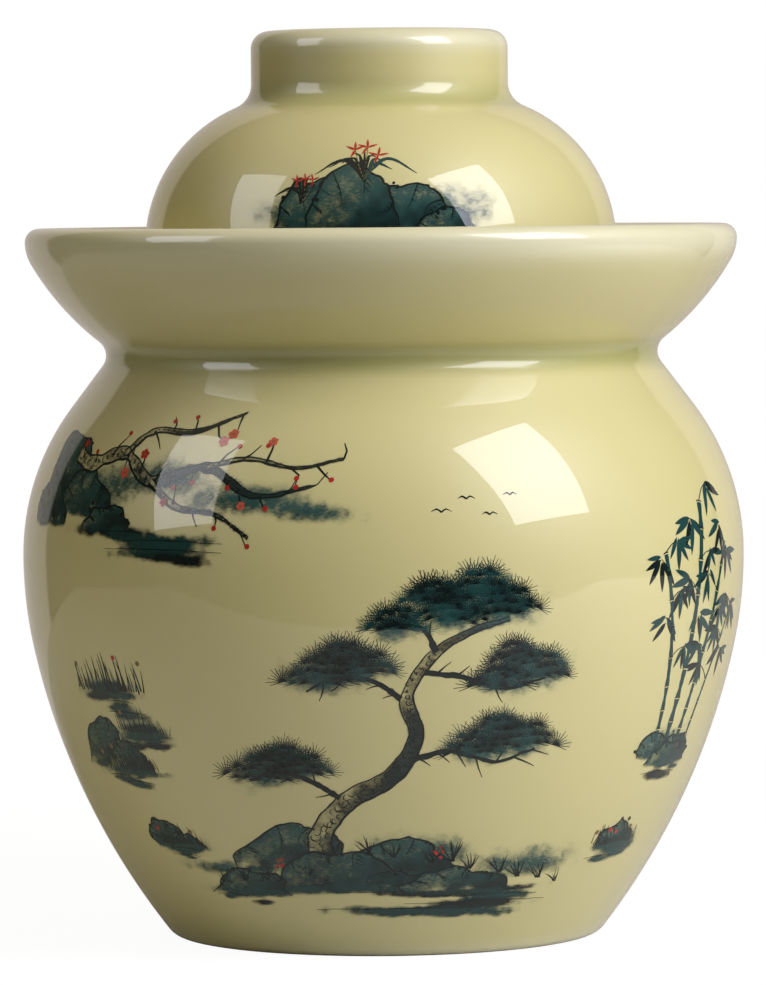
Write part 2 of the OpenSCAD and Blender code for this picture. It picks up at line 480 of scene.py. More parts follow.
@dataclass(frozen=True)
class Glaze:
    """A celadon glaze over cream stoneware."""

    name: str
    body: tuple = (0.6, 0.545, 0.232, 1)
    thin: tuple = colour(216, 211, 170)
    pool: tuple = colour(168, 165, 98)
    clay: tuple = colour(226, 213, 184)
    drift: float = 0.22

    def material(self, shared: SharedEffects) -> bpy.types.Material:
        """Builds the glaze.

        Args:
            shared: The node groups.

        Returns:
            The material.
        """
        finish = Finish(self.name, shared)
        depth = finish.group(
            shared.depth,
            {
                "Place": finish.place,
                "Gather": finish.attribute("gather"),
                "Bare": finish.attribute("bare"),
                "Body": self.body,
                "Thin": self.thin,
                "Pool": self.pool,
                "Clay": self.clay,
                "Drift": self.drift,
            },
        )
        finish.plug(depth.outputs["Colour"], "Base Color")
        finish.plug(depth.outputs["Roughness"], "Roughness")
        finish.plug(depth.outputs["Coat"], "Coat Weight")
        finish.surface.inputs["Specular IOR Level"].default_value = HAZE
        finish.gloss()
        grain = finish.tree.noise(finish.place, 1500.0, 2.0)
        rough = finish.tree.math("MULTIPLY", grain, depth.outputs["Clay"])
        finish.bump(finish.tree.math("ADD", finish.ripple(**RIPPLE), rough), RIPPLE_DEPTH)
        return finish.material


class Lathe:
    """Turns a profile into a closed mesh with Geometry Nodes."""

    def __init__(self, segments: int = 256) -> None:
        """Builds the node tree.

        Args:
            segments: Steps in a full turn.
        """
        self.segments = segments
        self.tree = bpy.data.node_groups.new("lathe", "GeometryNodeTree")
        face = self.tree.interface
        face.new_socket("Geometry", in_out="INPUT", socket_type="NodeSocketGeometry")
        self.inputs = {
            label: face.new_socket(label, in_out="INPUT", socket_type="NodeSocket" + kind).identifier
            for label, kind in (("Segments", "Int"), ("Material", "Material"))
        }
        face.new_socket("Geometry", in_out="OUTPUT", socket_type="NodeSocketGeometry")
        self.fill(NodeTree(self.tree))

    def fill(self, t: NodeTree) -> None:
        """Adds the nodes that bend a grid round the axis.

        Args:
            t: The tree.
        """
        given = t.add("NodeGroupInput").outputs
        size = t.add("GeometryNodeAttributeDomainSize", {"Geometry": given["Geometry"]}, component="MESH")
        stations = size.outputs["Point Count"]

        def maths(operation: str, a: object, b: object = 0.0) -> bpy.types.NodeSocket:
            """One step of arithmetic on fields."""
            return t.add("ShaderNodeMath", {0: a, 1: b}, operation=operation).outputs[0]

        columns = maths("ADD", given["Segments"], 1.0)
        grid = t.add("GeometryNodeMeshGrid", {"Vertices X": columns, "Vertices Y": stations})
        index = t.add("GeometryNodeInputIndex").outputs[0]
        column = maths("FLOOR", maths("DIVIDE", maths("ADD", index, 0.5), stations))
        station = maths("SUBTRACT", index, maths("MULTIPLY", column, stations))

        def sampled(kind: str, value: bpy.types.NodeSocket) -> bpy.types.NodeSocket:
            """A value of the profile at this vertex's station."""
            node = t.add("GeometryNodeSampleIndex", data_type=kind, domain="POINT")
            for source, key in ((given["Geometry"], "Geometry"), (value, "Value"), (station, "Index")):
                t.tree.links.new(source, node.inputs[key])
            return node.outputs[0]

        place = sampled("FLOAT_VECTOR", t.add("GeometryNodeInputPosition").outputs[0])
        flat = t.add("ShaderNodeSeparateXYZ", {0: place}).outputs
        angle = maths("DIVIDE", maths("MULTIPLY", column, math.tau), given["Segments"])
        x, y = (maths("MULTIPLY", flat["X"], maths(f, angle)) for f in ("COSINE", "SINE"))
        turned = t.add("ShaderNodeCombineXYZ", {"X": x, "Y": y, "Z": flat["Z"]}).outputs[0]
        shape = t.add(
            "GeometryNodeStoreNamedAttribute",
            {"Geometry": grid.outputs["Mesh"], "Name": BAKE_MAP, "Value": grid.outputs["UV Map"]},
            data_type="FLOAT2",
            domain="CORNER",
        ).outputs[0]
        for name in ("gather", "bare"):
            named = t.add("GeometryNodeInputNamedAttribute", {"Name": name}, data_type="FLOAT")
            value = sampled("FLOAT", named.outputs[0])
            stored = {"Geometry": shape, "Name": name, "Value": value}
            shape = t.add("GeometryNodeStoreNamedAttribute", stored, data_type="FLOAT", domain="POINT").outputs[0]
        shape = t.add("GeometryNodeSetPosition", {"Geometry": shape, "Position": turned}).outputs[0]
        shape = t.add("GeometryNodeMergeByDistance", {"Geometry": shape, "Distance": 1e-6}).outputs[0]
        shape = t.add("GeometryNodeSetShadeSmooth", {"Geometry": shape, "Shade Smooth": True}).outputs[0]
        shape = t.add("GeometryNodeRealizeInstances", {"Geometry": shape}).outputs[0]
        shape = t.add("GeometryNodeSetMaterial", {"Geometry": shape, "Material": given["Material"]}).outputs[0]
        t.add("NodeGroupOutput", {"Geometry": shape})

    def throw(self, name: str, profile: Profile, material: bpy.types.Material) -> bpy.types.Object:
        """Makes one piece.

        Args:
            name: Name of the piece.
            profile: Its sampled outline, in millimetres.
            material: What it is covered with.

        Returns:
            The piece, a plain mesh in metres.
        """
        mesh = bpy.data.meshes.new(name + "_profile")
        places = np.insert(profile.places * MM, 1, 0.0, axis=1)
        mesh.from_pydata(places, [(i, i + 1) for i in range(len(places) - 1)], [])
        for label, values in (("gather", profile.gather), ("bare", profile.bare)):
            mesh.attributes.new(label, "FLOAT", "POINT").data.foreach_set("value", values.astype(np.float32))
        source = bpy.data.objects.new(name + "_profile", mesh)
        return grown(source, self.tree, {self.inputs["Segments"]: self.segments, self.inputs["Material"]: material}, name)


def grown(source: bpy.types.Object, tree: bpy.types.NodeTree, inputs: dict, name: str) -> bpy.types.Object:
    """Runs a geometry tree once and keeps its result as a plain mesh.

    Args:
        source: Object that the tree starts from. It is removed.
        tree: The geometry tree.
        inputs: Value of each input, by the socket's identifier.
        name: Name of the result.

    Returns:
        The result, linked to the scene.
    """
    bpy.context.scene.collection.objects.link(source)
    modifier = source.modifiers.new("grow", "NODES")
    modifier.node_group = tree
    for key, value in inputs.items():
        modifier[key] = value
    graph = bpy.context.evaluated_depsgraph_get()
    graph.update()
    mesh = bpy.data.meshes.new_from_object(source.evaluated_get(graph), preserve_all_data_layers=True, depsgraph=graph)
    mesh.name = name
    source.modifiers.remove(modifier)
    bpy.data.objects.remove(source)
    piece = bpy.data.objects.new(name, mesh)
    bpy.context.scene.collection.objects.link(piece)
    return piece


@dataclass
class PotBody:
    """The pot: belly, shoulder, flared water moat and mouth collar, thrown as one piece."""

    belly_r: float = 115.8
    belly_z: float = 122.5
    shoulder_bow: float = 78.5
    slope_l: float = 17.0
    flank_bow: float = 140.0
    flank_z: float = 92.0
    base_r: float = 68.5
    foot_round: float = 6.0
    foot_land: float = 7.0
    foot_recess: float = 3.0
    foot_edge: float = 1.5
    wall: float = 5.5
    floor_t: float = 7.0
    well_round: float = 28.0
    waist_r: float = 88.6
    waist_round: float = 5.5
    rim_r: float = 114.2
    rim_z: float = 227.5
    lip_round: float = 4.5
    lip_under: float = 14.0
    flare_bow: float = 90.0
    moat_z: float = 193.5
    moat_floor_t: float = 7.5
    moat_bow: float = 70.0
    moat_round: float = 6.0
    moat_gap: float = 5.5
    lid_r: float = 75.7
    mouth_r: float = 50.0
    collar_wall: float = 7.0
    collar_z: float = 226.0
    collar_round: float = 2.0
    collar_foot: float = 6.0
    mouth_round: float = 6.0

    @property
    def collar_r(self) -> float:
        """Outside radius of the collar."""
        return self.mouth_r + self.collar_wall

    def underside(self) -> list[Corner]:
        """The recessed bottom and the bare foot ring."""
        inner = self.foot_centre[0] - self.foot_land
        return [
            Corner((0, self.foot_recess)),
            Corner((inner - 2 * self.foot_edge, self.foot_recess), -self.foot_edge, True),
            Corner((inner - self.foot_edge, self.foot_recess - self.foot_edge), self.foot_edge, True),
            Corner((inner, 0), 0, True),
        ]

    @property
    def flank(self) -> tuple[np.ndarray, float]:
        """Centre of the belly's lower curve, and the angle at which it ends."""
        return np.array([self.belly_r - self.flank_bow, self.belly_z]), -math.asin(
            (self.belly_z - self.flank_z) / self.flank_bow
        )

    @property
    def low(self) -> tuple[np.ndarray, float]:
        """Centre and radius of the flatter curve from the flank to the foot."""
        centre, turn = self.flank
        end = centre + self.flank_bow * polar(turn)
        to_base = np.array([self.base_r, 0]) - end
        bow = -(to_base @ to_base) / (2 * to_base @ polar(turn))
        return end - bow * polar(turn), bow

    @property
    def foot_centre(self) -> np.ndarray:
        """Centre of the rounding between flank and ground."""
        centre, bow = self.low
        reach = math.sqrt((bow - self.foot_round) ** 2 - (self.foot_round - centre[1]) ** 2)
        return np.array([centre[0] + reach, self.foot_round])

    def outside(self) -> list[Corner]:
        """Foot, flank, shoulder, waist, flare and lip."""
        flank_c, turn = self.flank
        low_c, low_bow = self.low
        shoulder = (self.belly_r - self.shoulder_bow, self.belly_z)
        waist_x = self.waist_r + self.waist_round
        apart = math.hypot(self.shoulder_bow + self.waist_round, self.slope_l)
        waist = (waist_x, self.belly_z + math.sqrt(apart**2 - (waist_x - shoulder[0]) ** 2))
        slope = cross_tangent(shoulder, self.shoulder_bow, waist, self.waist_round)
        lip = (self.rim_r - self.lip_round, self.rim_z - self.lip_round)
        under = (self.rim_r - self.lip_under, lip[1])
        flare = meet(waist, self.flare_bow + self.waist_round, under, self.flare_bow - self.lip_under)
        return [
            Corner((self.foot_centre[0], 0), self.foot_round),
            Corner(touch(low_c, low_bow, self.foot_centre), low_bow),
            Corner(flank_c + self.flank_bow * polar(turn), self.flank_bow),
            Corner((self.belly_r, self.belly_z), self.shoulder_bow),
            Corner(slope[0]),
            Corner(slope[1], -self.waist_round),
            Corner(touch(waist, self.waist_round, flare), self.flare_bow),
            Corner(touch(flare, self.flare_bow, under), self.lip_under),
            Corner((self.rim_r, lip[1]), self.lip_round),
            Corner((lip[0], self.rim_z), self.lip_round),
        ]

    def moat(self) -> list[Corner]:
        """The moat's wall and floor, and the collar up to the mouth."""
        lip = (self.rim_r - self.lip_round, self.rim_z - self.lip_round)
        toe = (self.lid_r + self.moat_gap, self.moat_z + self.moat_round)
        wall = meet(toe, self.moat_bow - self.moat_round, lip, self.moat_bow + self.lip_round)
        return [
            Corner(touch(lip, self.lip_round, wall), -self.moat_bow),
            Corner(touch(wall, self.moat_bow, toe), -self.moat_round),
            Corner((toe[0], self.moat_z)),
            Corner((self.collar_r + self.collar_foot, self.moat_z), -self.collar_foot),
            Corner((self.collar_r, self.moat_z + self.collar_foot)),
            Corner((self.collar_r, self.collar_z - self.collar_round), self.collar_round, True),
            Corner((self.collar_r - self.collar_round, self.collar_z), 0, True),
            Corner((self.mouth_r + self.collar_round, self.collar_z), self.collar_round, True),
            Corner((self.mouth_r, self.collar_z - self.collar_round)),
        ]

    def inside(self) -> list[Corner]:
        """The hold: mouth, vault, belly and well, one wall inside the outside."""
        flank_c, turn = self.flank
        low_c, low_bow = self.low
        shoulder = (self.belly_r - self.shoulder_bow, self.belly_z)
        ceiling, floor = self.moat_z - self.moat_floor_t, self.foot_recess + self.floor_t
        run, rise = self.mouth_r + self.mouth_round - shoulder[0], ceiling - self.belly_z
        bow = self.shoulder_bow - self.wall
        vault_r = (bow**2 - run**2 - rise**2) / (2 * (bow - rise))
        vault = (self.mouth_r + self.mouth_round, ceiling - vault_r)
        reach = (low_bow - self.wall - self.well_round) ** 2 - (floor + self.well_round - low_c[1]) ** 2
        well = (low_c[0] + math.sqrt(reach), floor + self.well_round)
        return [
            Corner((self.mouth_r, ceiling + self.mouth_round), self.mouth_round),
            Corner((vault[0], ceiling), -vault_r),
            Corner(touch(shoulder, bow, vault), -bow),
            Corner((self.belly_r - self.wall, self.belly_z), self.wall - self.flank_bow),
            Corner(flank_c + (self.flank_bow - self.wall) * polar(turn), self.wall - low_bow),
            Corner(touch(low_c, low_bow - self.wall, well), -self.well_round),
            Corner((well[0], floor)),
            Corner((0, floor)),
        ]

    def build(self, lathe: Lathe, glaze: bpy.types.Material) -> bpy.types.Object:
        """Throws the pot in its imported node's place.

        Args:
            lathe: The lathe.
            glaze: The pot's glaze.

        Returns:
            The piece.
        """
        corners = self.underside() + self.outside() + self.moat() + self.inside()
        return dressed(lathe.throw("pot", Outline(corners).profile(), glaze), "pot", "pot_glaze", "pot_body")


@dataclass
class OuterLid:
    """The bowl-shaped lid that stands in the moat, with its ring knob."""

    moat_z: float
    lid_r: float
    collar_z: float
    lid_wall: float = 5.0
    spring_drop: float = 5.0
    dome_bow: float = 48.6
    skirt_round: float = 1.5
    knob_r: float = 41.2
    knob_h: float = 20.4
    knob_wall: float = 9.5
    knob_round: float = 5.6
    knob_inner_round: float = 3.0
    knob_foot: float = 8.0
    recess_round: float = 5.0

    @property
    def dome(self) -> np.ndarray:
        """Centre of the dome's curve."""
        return np.array([self.lid_r - self.dome_bow, self.collar_z - self.spring_drop])

    def shell(self) -> list[Corner]:
        """Skirt and dome, up to the foot of the knob, and the knob's outside."""
        hub = self.knob_r + self.knob_foot
        drop = math.sqrt((self.dome_bow + self.knob_foot) ** 2 - (hub - self.dome[0]) ** 2)
        foot = (hub, self.dome[1] + drop)
        return [
            Corner((self.lid_r - self.skirt_round, self.moat_z), self.skirt_round, True),
            Corner((self.lid_r, self.moat_z + self.skirt_round)),
            Corner((self.lid_r, self.dome[1]), self.dome_bow),
            Corner(touch(self.dome, self.dome_bow, foot), -self.knob_foot),
            Corner((self.knob_r, foot[1])),
        ]

    def knob(self) -> list[Corner]:
        """The ring's top and the recess inside it."""
        crown = self.dome[1] + self.dome_bow
        top, inner = crown + self.knob_h, self.knob_r - self.knob_wall
        return [
            Corner((self.knob_r, top - self.knob_round), self.knob_round),
            Corner((self.knob_r - self.knob_round, top)),
            Corner((inner + self.knob_inner_round, top), self.knob_inner_round),
            Corner((inner, top - self.knob_inner_round)),
            Corner((inner, crown + self.recess_round), -self.recess_round),
            Corner((inner - self.recess_round, crown)),
            Corner((0, crown)),
        ]

    def underside(self) -> list[Corner]:
        """The hollow of the lid, down to the bare edge of its skirt."""
        under, inner = self.dome[1] + self.dome_bow - self.lid_wall, self.lid_r - self.lid_wall
        return [
            Corner((0, under)),
            Corner((self.dome[0], under), self.lid_wall - self.dome_bow),
            Corner((inner, self.dome[1])),
            Corner((inner, self.moat_z + self.skirt_round), self.skirt_round, True),
            Corner((inner + self.skirt_round, self.moat_z), 0, True),
            Corner((self.lid_r - self.skirt_round, self.moat_z)),
        ]

    def build(self, lathe: Lathe, glaze: bpy.types.Material) -> bpy.types.Object:
        """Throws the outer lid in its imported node's place.

        Args:
            lathe: The lathe.
            glaze: The lid's glaze.

        Returns:
            The piece.
        """
        shell = Outline(self.shell() + self.knob()).profile()
        hollow = Outline(self.underside()).profile()
        joined = (np.concatenate(pair) for pair in zip(
            (shell.places, shell.bare, shell.gather), (hollow.places, hollow.bare, hollow.gather)
        ))
        piece = lathe.throw("outer_cover", Profile(*joined), glaze)
        return dressed(piece, "outer_cover", "outer_lid_glaze", "outer_lid")


@dataclass
class InnerLid:
    """The small cover on the mouth collar, with a spigot below and a button above."""

    collar_z: float
    collar_r: float
    mouth_r: float
    cover_inset: float = 1.0
    cover_t: float = 5.0
    cover_rise: float = 2.5
    spigot_gap: float = 2.0
    spigot_wall: float = 4.5
    spigot_h: float = 8.0
    spigot_round: float = 1.25
    button_r: float = 13.5
    neck_r: float = 9.5
    neck_foot: float = 4.0
    button_h: float = 14.0
    button_round: float = 3.0

    def outline(self) -> list[Corner]:
        """Underside, spigot, edge, top and button."""
        seat, edge = self.collar_z, self.collar_r - self.cover_inset
        outer = self.mouth_r - self.spigot_gap
        inner, low, half = outer - self.spigot_wall, seat - self.spigot_h, self.cover_t / 2
        disc = seat + self.cover_t + self.cover_rise
        top = disc + self.button_h
        neck_top, turn = top - 2 * self.button_round, self.spigot_round
        run = edge - half - self.neck_r - self.neck_foot
        rise = (run**2 + self.cover_rise**2) / (2 * self.cover_rise)
        return [
            Corner((0, seat), 0, True),
            Corner((inner, seat), 0, True),
            Corner((inner, low + turn), turn, True),
            Corner((inner + turn, low), 0, True),
            Corner((outer - turn, low), turn, True),
            Corner((outer, low + turn), 0, True),
            Corner((outer, seat), 0, True),
            Corner((edge - half, seat), half),
            Corner((edge, seat + half), half),
            Corner((edge - half, seat + self.cover_t), rise),
            Corner((self.neck_r + self.neck_foot, disc), -self.neck_foot),
            Corner((self.neck_r, disc + self.neck_foot)),
            Corner((self.neck_r, neck_top)),
            Corner((self.button_r - self.button_round, neck_top), self.button_round),
            Corner((self.button_r, neck_top + self.button_round), self.button_round),
            Corner((self.button_r - self.button_round, top)),
            Corner((0, top)),
        ]

    def build(self, lathe: Lathe, glaze: bpy.types.Material) -> bpy.types.Object:
        """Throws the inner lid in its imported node's place.

        Args:
            lathe: The lathe.
            glaze: The lid's glaze.

        Returns:
            The piece.
        """
        piece = lathe.throw("inner_cover", Outline(self.outline(), step=2.4).profile(), glaze)
        return dressed(piece, "inner_cover", "inner_lid_glaze", "inner_lid")


def dressed(piece: bpy.types.Object, body: str, slot: str, *nodes: str) -> bpy.types.Object:
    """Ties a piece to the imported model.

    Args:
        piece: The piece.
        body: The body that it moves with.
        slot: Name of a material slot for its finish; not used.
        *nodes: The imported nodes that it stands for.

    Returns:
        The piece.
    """
    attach(piece, body)
    if nodes:
        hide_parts(*nodes)
    log.info("%s rides on %s with %d faces", piece.name, body, len(piece.data.polygons))
    return piece


class Ink(Enum):
    """Colours of the decoration under the clear top glaze."""

    LAMP = colour(19, 30, 28)
    PINE = colour(30, 64, 60)
    MIST = colour(66, 104, 98)
    BARK = colour(70, 58, 42)
    OCHRE = colour(128, 100, 58)
    RED = colour(172, 44, 36)
    ROSE = colour(196, 88, 68)


class Motif(Enum):
    """Small marks that are brushed over and over."""

    FAN = "needle_fan"
    LEAF = "bamboo_leaf"
    BLADE = "grass_blade"
    BLOSSOM = "blossom"
    DOT = "dot"


@dataclass(frozen=True)
class Stroke:
    """One pull of a thin brush, flat, in millimetres."""

    way: np.ndarray
    half: np.ndarray  # half of its width at each point
    ink: Ink
    load: float = 1.0


@dataclass(frozen=True)
class Dab:
    """One soft touch of a wet brush."""

    at: Point
    reach: Point  # half of its length and of its height
    ink: Ink
    load: float = 0.8
    turn: float = 0.0
    soft: float = 0.7
    ragged: float = 0.35


@dataclass(frozen=True)
class Pool:
    """A wash that fills a closed outline and darkens one way."""

    edge: np.ndarray
    ink: Ink
    load: float
    dark: float = -60.0  # the way in which it darkens, in degrees from the right
    fade: float = 0.35  # share of the load that is left on the pale side
    rim: float = 2.5  # how far in from the outline the ink still gathers
    melt: float = 0.0  # height over which the foot of the wash fades away
    lifts: bool = False  # takes off what lies below instead


@dataclass(frozen=True)
class Sprig:
    """One small mark: where it grows, its way in degrees, its length and its ink."""

    at: Point
    turn: float
    size: float
    ink: Ink


def bend(points: np.ndarray, step: float = 1.2) -> np.ndarray:
    """A smooth way through given points.

    Args:
        points: The points.
        step: Distance between the stations of the way, in millimetres.

    Returns:
        The stations.
    """
    p = np.asarray(points, float)
    p = np.vstack([2 * p[0] - p[1], p, 2 * p[-1] - p[-2]])
    found = []
    for a, b, c, d in zip(p, p[1:], p[2:], p[3:]):
        count = max(int(np.linalg.norm(c - b) / step), 2)
        t = (np.arange(count) / count)[:, None]
        found.append(b + t * (c - a) / 2 + t**2 * (a - 2.5 * b + 2 * c - d / 2) + t**3 * (1.5 * (b - c) + (d - a) / 2))
    return np.vstack([*found, p[-2:-1]])


def cloud(place: np.ndarray, size: float, seed: int) -> np.ndarray:
    """Smooth chance values from 0 to 1.

    Args:
        place: Points.
        size: Width of one puff.
        seed: Seed of the chance.

    Returns:
        A value for each point.
    """
    table = np.random.default_rng(seed).random((97, 97))
    cell = np.floor(place / size).astype(int)
    x, y = (place / size - cell).T
    x, y = x * x * (3 - 2 * x), y * y * (3 - 2 * y)
    west, south = (cell % 97).T
    east, north = ((cell + 1) % 97).T
    low = table[west, south] * (1 - x) + table[east, south] * x
    return low * (1 - y) + (table[west, north] * (1 - x) + table[east, north] * x) * y


def eased(share: np.ndarray) -> np.ndarray:
    """A share from 0 to 1 with soft ends."""
    share = np.clip(share, 0, 1)
    return share * share * (3 - 2 * share)


@dataclass
class Flat:
    """A flat patchwork of four-cornered faces, in millimetres, with what the inks need to know."""

    points: np.ndarray
    faces: np.ndarray
    tint: np.ndarray
    load: np.ndarray

    @staticmethod
    def joined(parts: list["Flat"]) -> "Flat":
        """Several patchworks as one.

        Args:
            parts: The patchworks.

        Returns:
            Their union.
        """
        starts = np.cumsum([0] + [len(p.points) for p in parts[:-1]])
        faces = np.vstack([p.faces + start for p, start in zip(parts, starts)])
        return Flat(np.vstack([p.points for p in parts]), faces, np.vstack([p.tint for p in parts]),
                    np.concatenate([p.load for p in parts]))


@dataclass
class Sheet:
    """Everything that is brushed in one place, still flat, with its hand's small chances."""

    name: str
    seed: int
    strokes: list[Stroke] = field(default_factory=list)
    wet: list[Dab | Pool] = field(default_factory=list)
    sprigs: dict[Motif, list[Sprig]] = field(default_factory=dict)
    accents: dict[Motif, list[Sprig]] = field(default_factory=dict)

    def __post_init__(self) -> None:
        """Starts the hand's chances."""
        self.hand = np.random.default_rng(self.seed)

    def line(self, points: list | np.ndarray, widths: tuple, ink: Ink = Ink.LAMP, load: float = 1.0,
             shake: float = 0.15, smooth: bool = True) -> np.ndarray:
        """Pulls a stroke.

        Args:
            points: Where the hand passes.
            widths: Widths spread evenly from its start to its end.
            ink: What is in the brush.
            load: How wet the brush is.
            shake: How far the hand strays.
            smooth: Whether corners are rounded.

        Returns:
            The stroke's stations.
        """
        way = bend(points) if smooth else np.asarray(points, float)
        share = np.linspace(0, 1, len(way))
        half = np.interp(share, np.linspace(0, 1, len(widths)), widths) / 2
        half = half * (1 + 0.5 * (cloud(way * 1.7 + self.hand.uniform(0, 50), 2.0, self.seed) - 0.5))
        stray = cloud(way + self.hand.uniform(0, 50), 3.0, self.seed + 1) - 0.5
        way = way + shake * np.stack([stray, -stray], 1) * 2
        self.strokes.append(Stroke(way, half, ink, load))
        return way

    def grow(self, motif: Motif, at: Point, turn: float, size: float, ink: Ink, accent: bool = False) -> None:
        """Places one small mark.

        Args:
            motif: Which mark.
            at: Where it grows.
            turn: Its way, in degrees.
            size: Its length.
            ink: Its ink.
            accent: Whether it goes into the bright layer on top.
        """
        layer = self.accents if accent else self.sprigs
        layer.setdefault(motif, []).append(Sprig(at, turn, size, ink))

    def cover(self, edge: np.ndarray, melt: float = 0.0) -> None:
        """Takes away what a nearer shape hides.

        Args:
            edge: The outline of the nearer shape.
            melt: Height over which its foot fades away.
        """
        kept, low, high = [], edge.min(0), edge.max(0)
        for stroke in self.strokes:
            if (stroke.way.max(0) < low).any() or (stroke.way.min(0) > high).any():
                kept.append(stroke)
                continue
            bare = ~inside(stroke.way, edge)[0]
            shown = bare.copy()
            shown[1:] |= bare[:-1]
            shown[:-1] |= bare[1:]
            for run in np.split(np.arange(len(shown)), np.flatnonzero(np.diff(shown)) + 1):
                if shown[run[0]] and len(run) > 1:
                    kept.append(Stroke(stroke.way[run], stroke.half[run], stroke.ink, stroke.load))
        self.strokes = kept
        for marks in self.sprigs.values():
            marks[:] = [m for m in marks if not inside(np.array([m.at]), edge)[0][0]]
        self.wet.append(Pool(edge, Ink.LAMP, 1.0, fade=1.0, melt=melt, lifts=True))

    def limb(self, points: list[Point], girth: tuple[float, ...], knots: float = 0.3) -> np.ndarray:
        """Brushes a trunk or a thick branch: its fill, its two edges and its bark.

        Args:
            points: Where it grows.
            girth: Widths spread evenly from its foot to its tip.
            knots: How uneven it is.

        Returns:
            The stations along its middle.
        """
        path = bend(points, 1.0)
        ahead = np.gradient(path, axis=0)
        ahead /= np.linalg.norm(ahead, axis=1, keepdims=True)
        aside = np.stack([-ahead[:, 1], ahead[:, 0]], 1)
        half = np.interp(np.linspace(0, 1, len(path)), np.linspace(0, 1, len(girth)), girth)[:, None] / 2
        half = half * (1 + knots * (cloud(path, 3.5, self.seed + 9) - 0.5)[:, None])
        left, right = path + aside * half, path - aside * half
        edge = np.vstack([left, right[::-1]])
        self.cover(edge)
        self.wet.append(Pool(edge, Ink.BARK, 0.8, -20.0, 0.4, 0.8))
        self.wet.append(Pool(edge, Ink.PINE, 0.7, -30.0, -0.1))
        self.wet.append(Pool(edge, Ink.LAMP, 0.8, -30.0, -0.4))
        self.line(left, (0.6, 0.45, 0.4), Ink.LAMP, 1.0, 0.15, False)
        self.line(right, (0.9, 0.7, 0.45), Ink.LAMP, 1.0, 0.15, False)
        for i in range(2, len(path) - 3, 2):
            if half[i, 0] < 0.7:
                continue
            for _ in range(2 if half[i, 0] > 1.5 else 1):
                spot = path[i] + aside[i] * half[i] * self.hand.uniform(-0.7, 0.7)
                arc = np.radians(self.hand.uniform(60, 240) + np.linspace(0, 190, 5))
                scale = half[i, 0] * self.hand.uniform(0.25, 0.42)
                scale_way = spot + scale * np.stack([np.cos(arc), np.sin(arc)], 1)
                self.line(scale_way, (0.2, 0.4, 0.15), Ink.LAMP, 0.9, 0.05, False)
        return path

    def tuft(self, at: Point, count: int, size: float, ink: Ink = Ink.LAMP, spread: float = 40.0) -> None:
        """Grass that fans out of one spot."""
        for turn in np.linspace(90 - spread, 90 + spread, count):
            place = (at[0] + self.hand.normal(0, 0.5), at[1])
            self.grow(Motif.BLADE, place, turn + self.hand.normal(0, 6), size * self.hand.uniform(0.6, 1.1), ink)


@dataclass
class Rocks:
    """Boulders with brushed edges, split faces and a dark wet foot."""

    at: Point
    sizes: list[tuple[float, float, float, float]]  # offset right and up, width and height of each boulder
    ink: Ink = Ink.PINE

    def brush(self, sheet: Sheet) -> None:
        """Brushes the boulders from the back to the front."""
        for right, up, width, height in self.sizes:
            self.boulder(sheet, np.add(self.at, (right, up)), width, height)

    def boulder(self, sheet: Sheet, foot: np.ndarray, width: float, height: float) -> None:
        """Brushes one boulder.

        Args:
            sheet: Where it goes.
            foot: Middle of its foot.
            width: Its width.
            height: Its height.
        """
        hand = sheet.hand
        turns = np.radians(np.linspace(188, -8, 11))
        reach = np.stack([np.cos(turns) * width / 2, np.maximum(np.sin(turns), -0.1) * height], 1)
        lean = hand.uniform(-0.18, 0.18) * reach[:, 1:]
        edge = foot + reach * hand.uniform(0.82, 1.1, (11, 1)) + np.hstack([lean, 0 * lean])
        outline = bend(edge, 1.0)
        jag = cloud(outline, 1.6, sheet.seed + 5) - 0.5
        outline = outline + jag[:, None] * (0.9, 0.9)
        below = foot + [(width * 0.38, -height * 0.1), (0, -height * 0.16), (-width * 0.38, -height * 0.1)]
        body, melt = np.vstack([outline, below]), height * 0.32
        sheet.cover(body, melt)
        sheet.wet.append(Pool(body, Ink.MIST, 0.5, 100.0, 0.55, height * 0.3, melt))
        sheet.wet.append(Pool(body, self.ink, 0.95, -50.0, 0.25, height * 0.2, melt))
        sheet.wet.append(Pool(body, Ink.LAMP, 0.95, -65.0, -0.3, height * 0.1, melt))
        for side in (-0.22, 0.2):
            wet = (foot[0] + side * width, foot[1] - height * 0.06)
            sheet.wet.append(Dab(wet, (width * 0.36, max(height * 0.14, 1.6)), self.ink, 0.8, hand.normal(0, 3), 1.0))
        sheet.line(outline, (0.35, 0.9, 0.55, 0.8, 0.4), Ink.LAMP, 1.0, 0.1, False)
        for share in np.linspace(0.2, 0.8, 4):
            start = outline[int(share * (len(outline) - 1))]
            fall = (foot + ((share - 0.5) * width * 0.5, height * 0.15) - start) * hand.uniform(0.4, 0.75)
            side = hand.uniform(-1, 1, 2) * width * 0.05
            sheet.line([start, start + fall * 0.5 + side, start + fall], (0.55, 0.35, 0.1), Ink.LAMP, 0.9)
            for k in range(3):
                spot = start + fall * (0.25 + 0.2 * k)
                tick = np.array([width * 0.05, -height * 0.09]) * hand.uniform(0.6, 1.2)
                sheet.line([spot, spot + tick], (0.4, 0.1), Ink.LAMP, 0.8, 0.05)
        for _ in range(5):
            spot = outline[hand.integers(2, len(outline) - 2)]
            sheet.grow(Motif.DOT, tuple(spot + hand.normal(0, 0.5, 2)), hand.uniform(0, 90), hand.uniform(0.8, 1.6), Ink.LAMP)


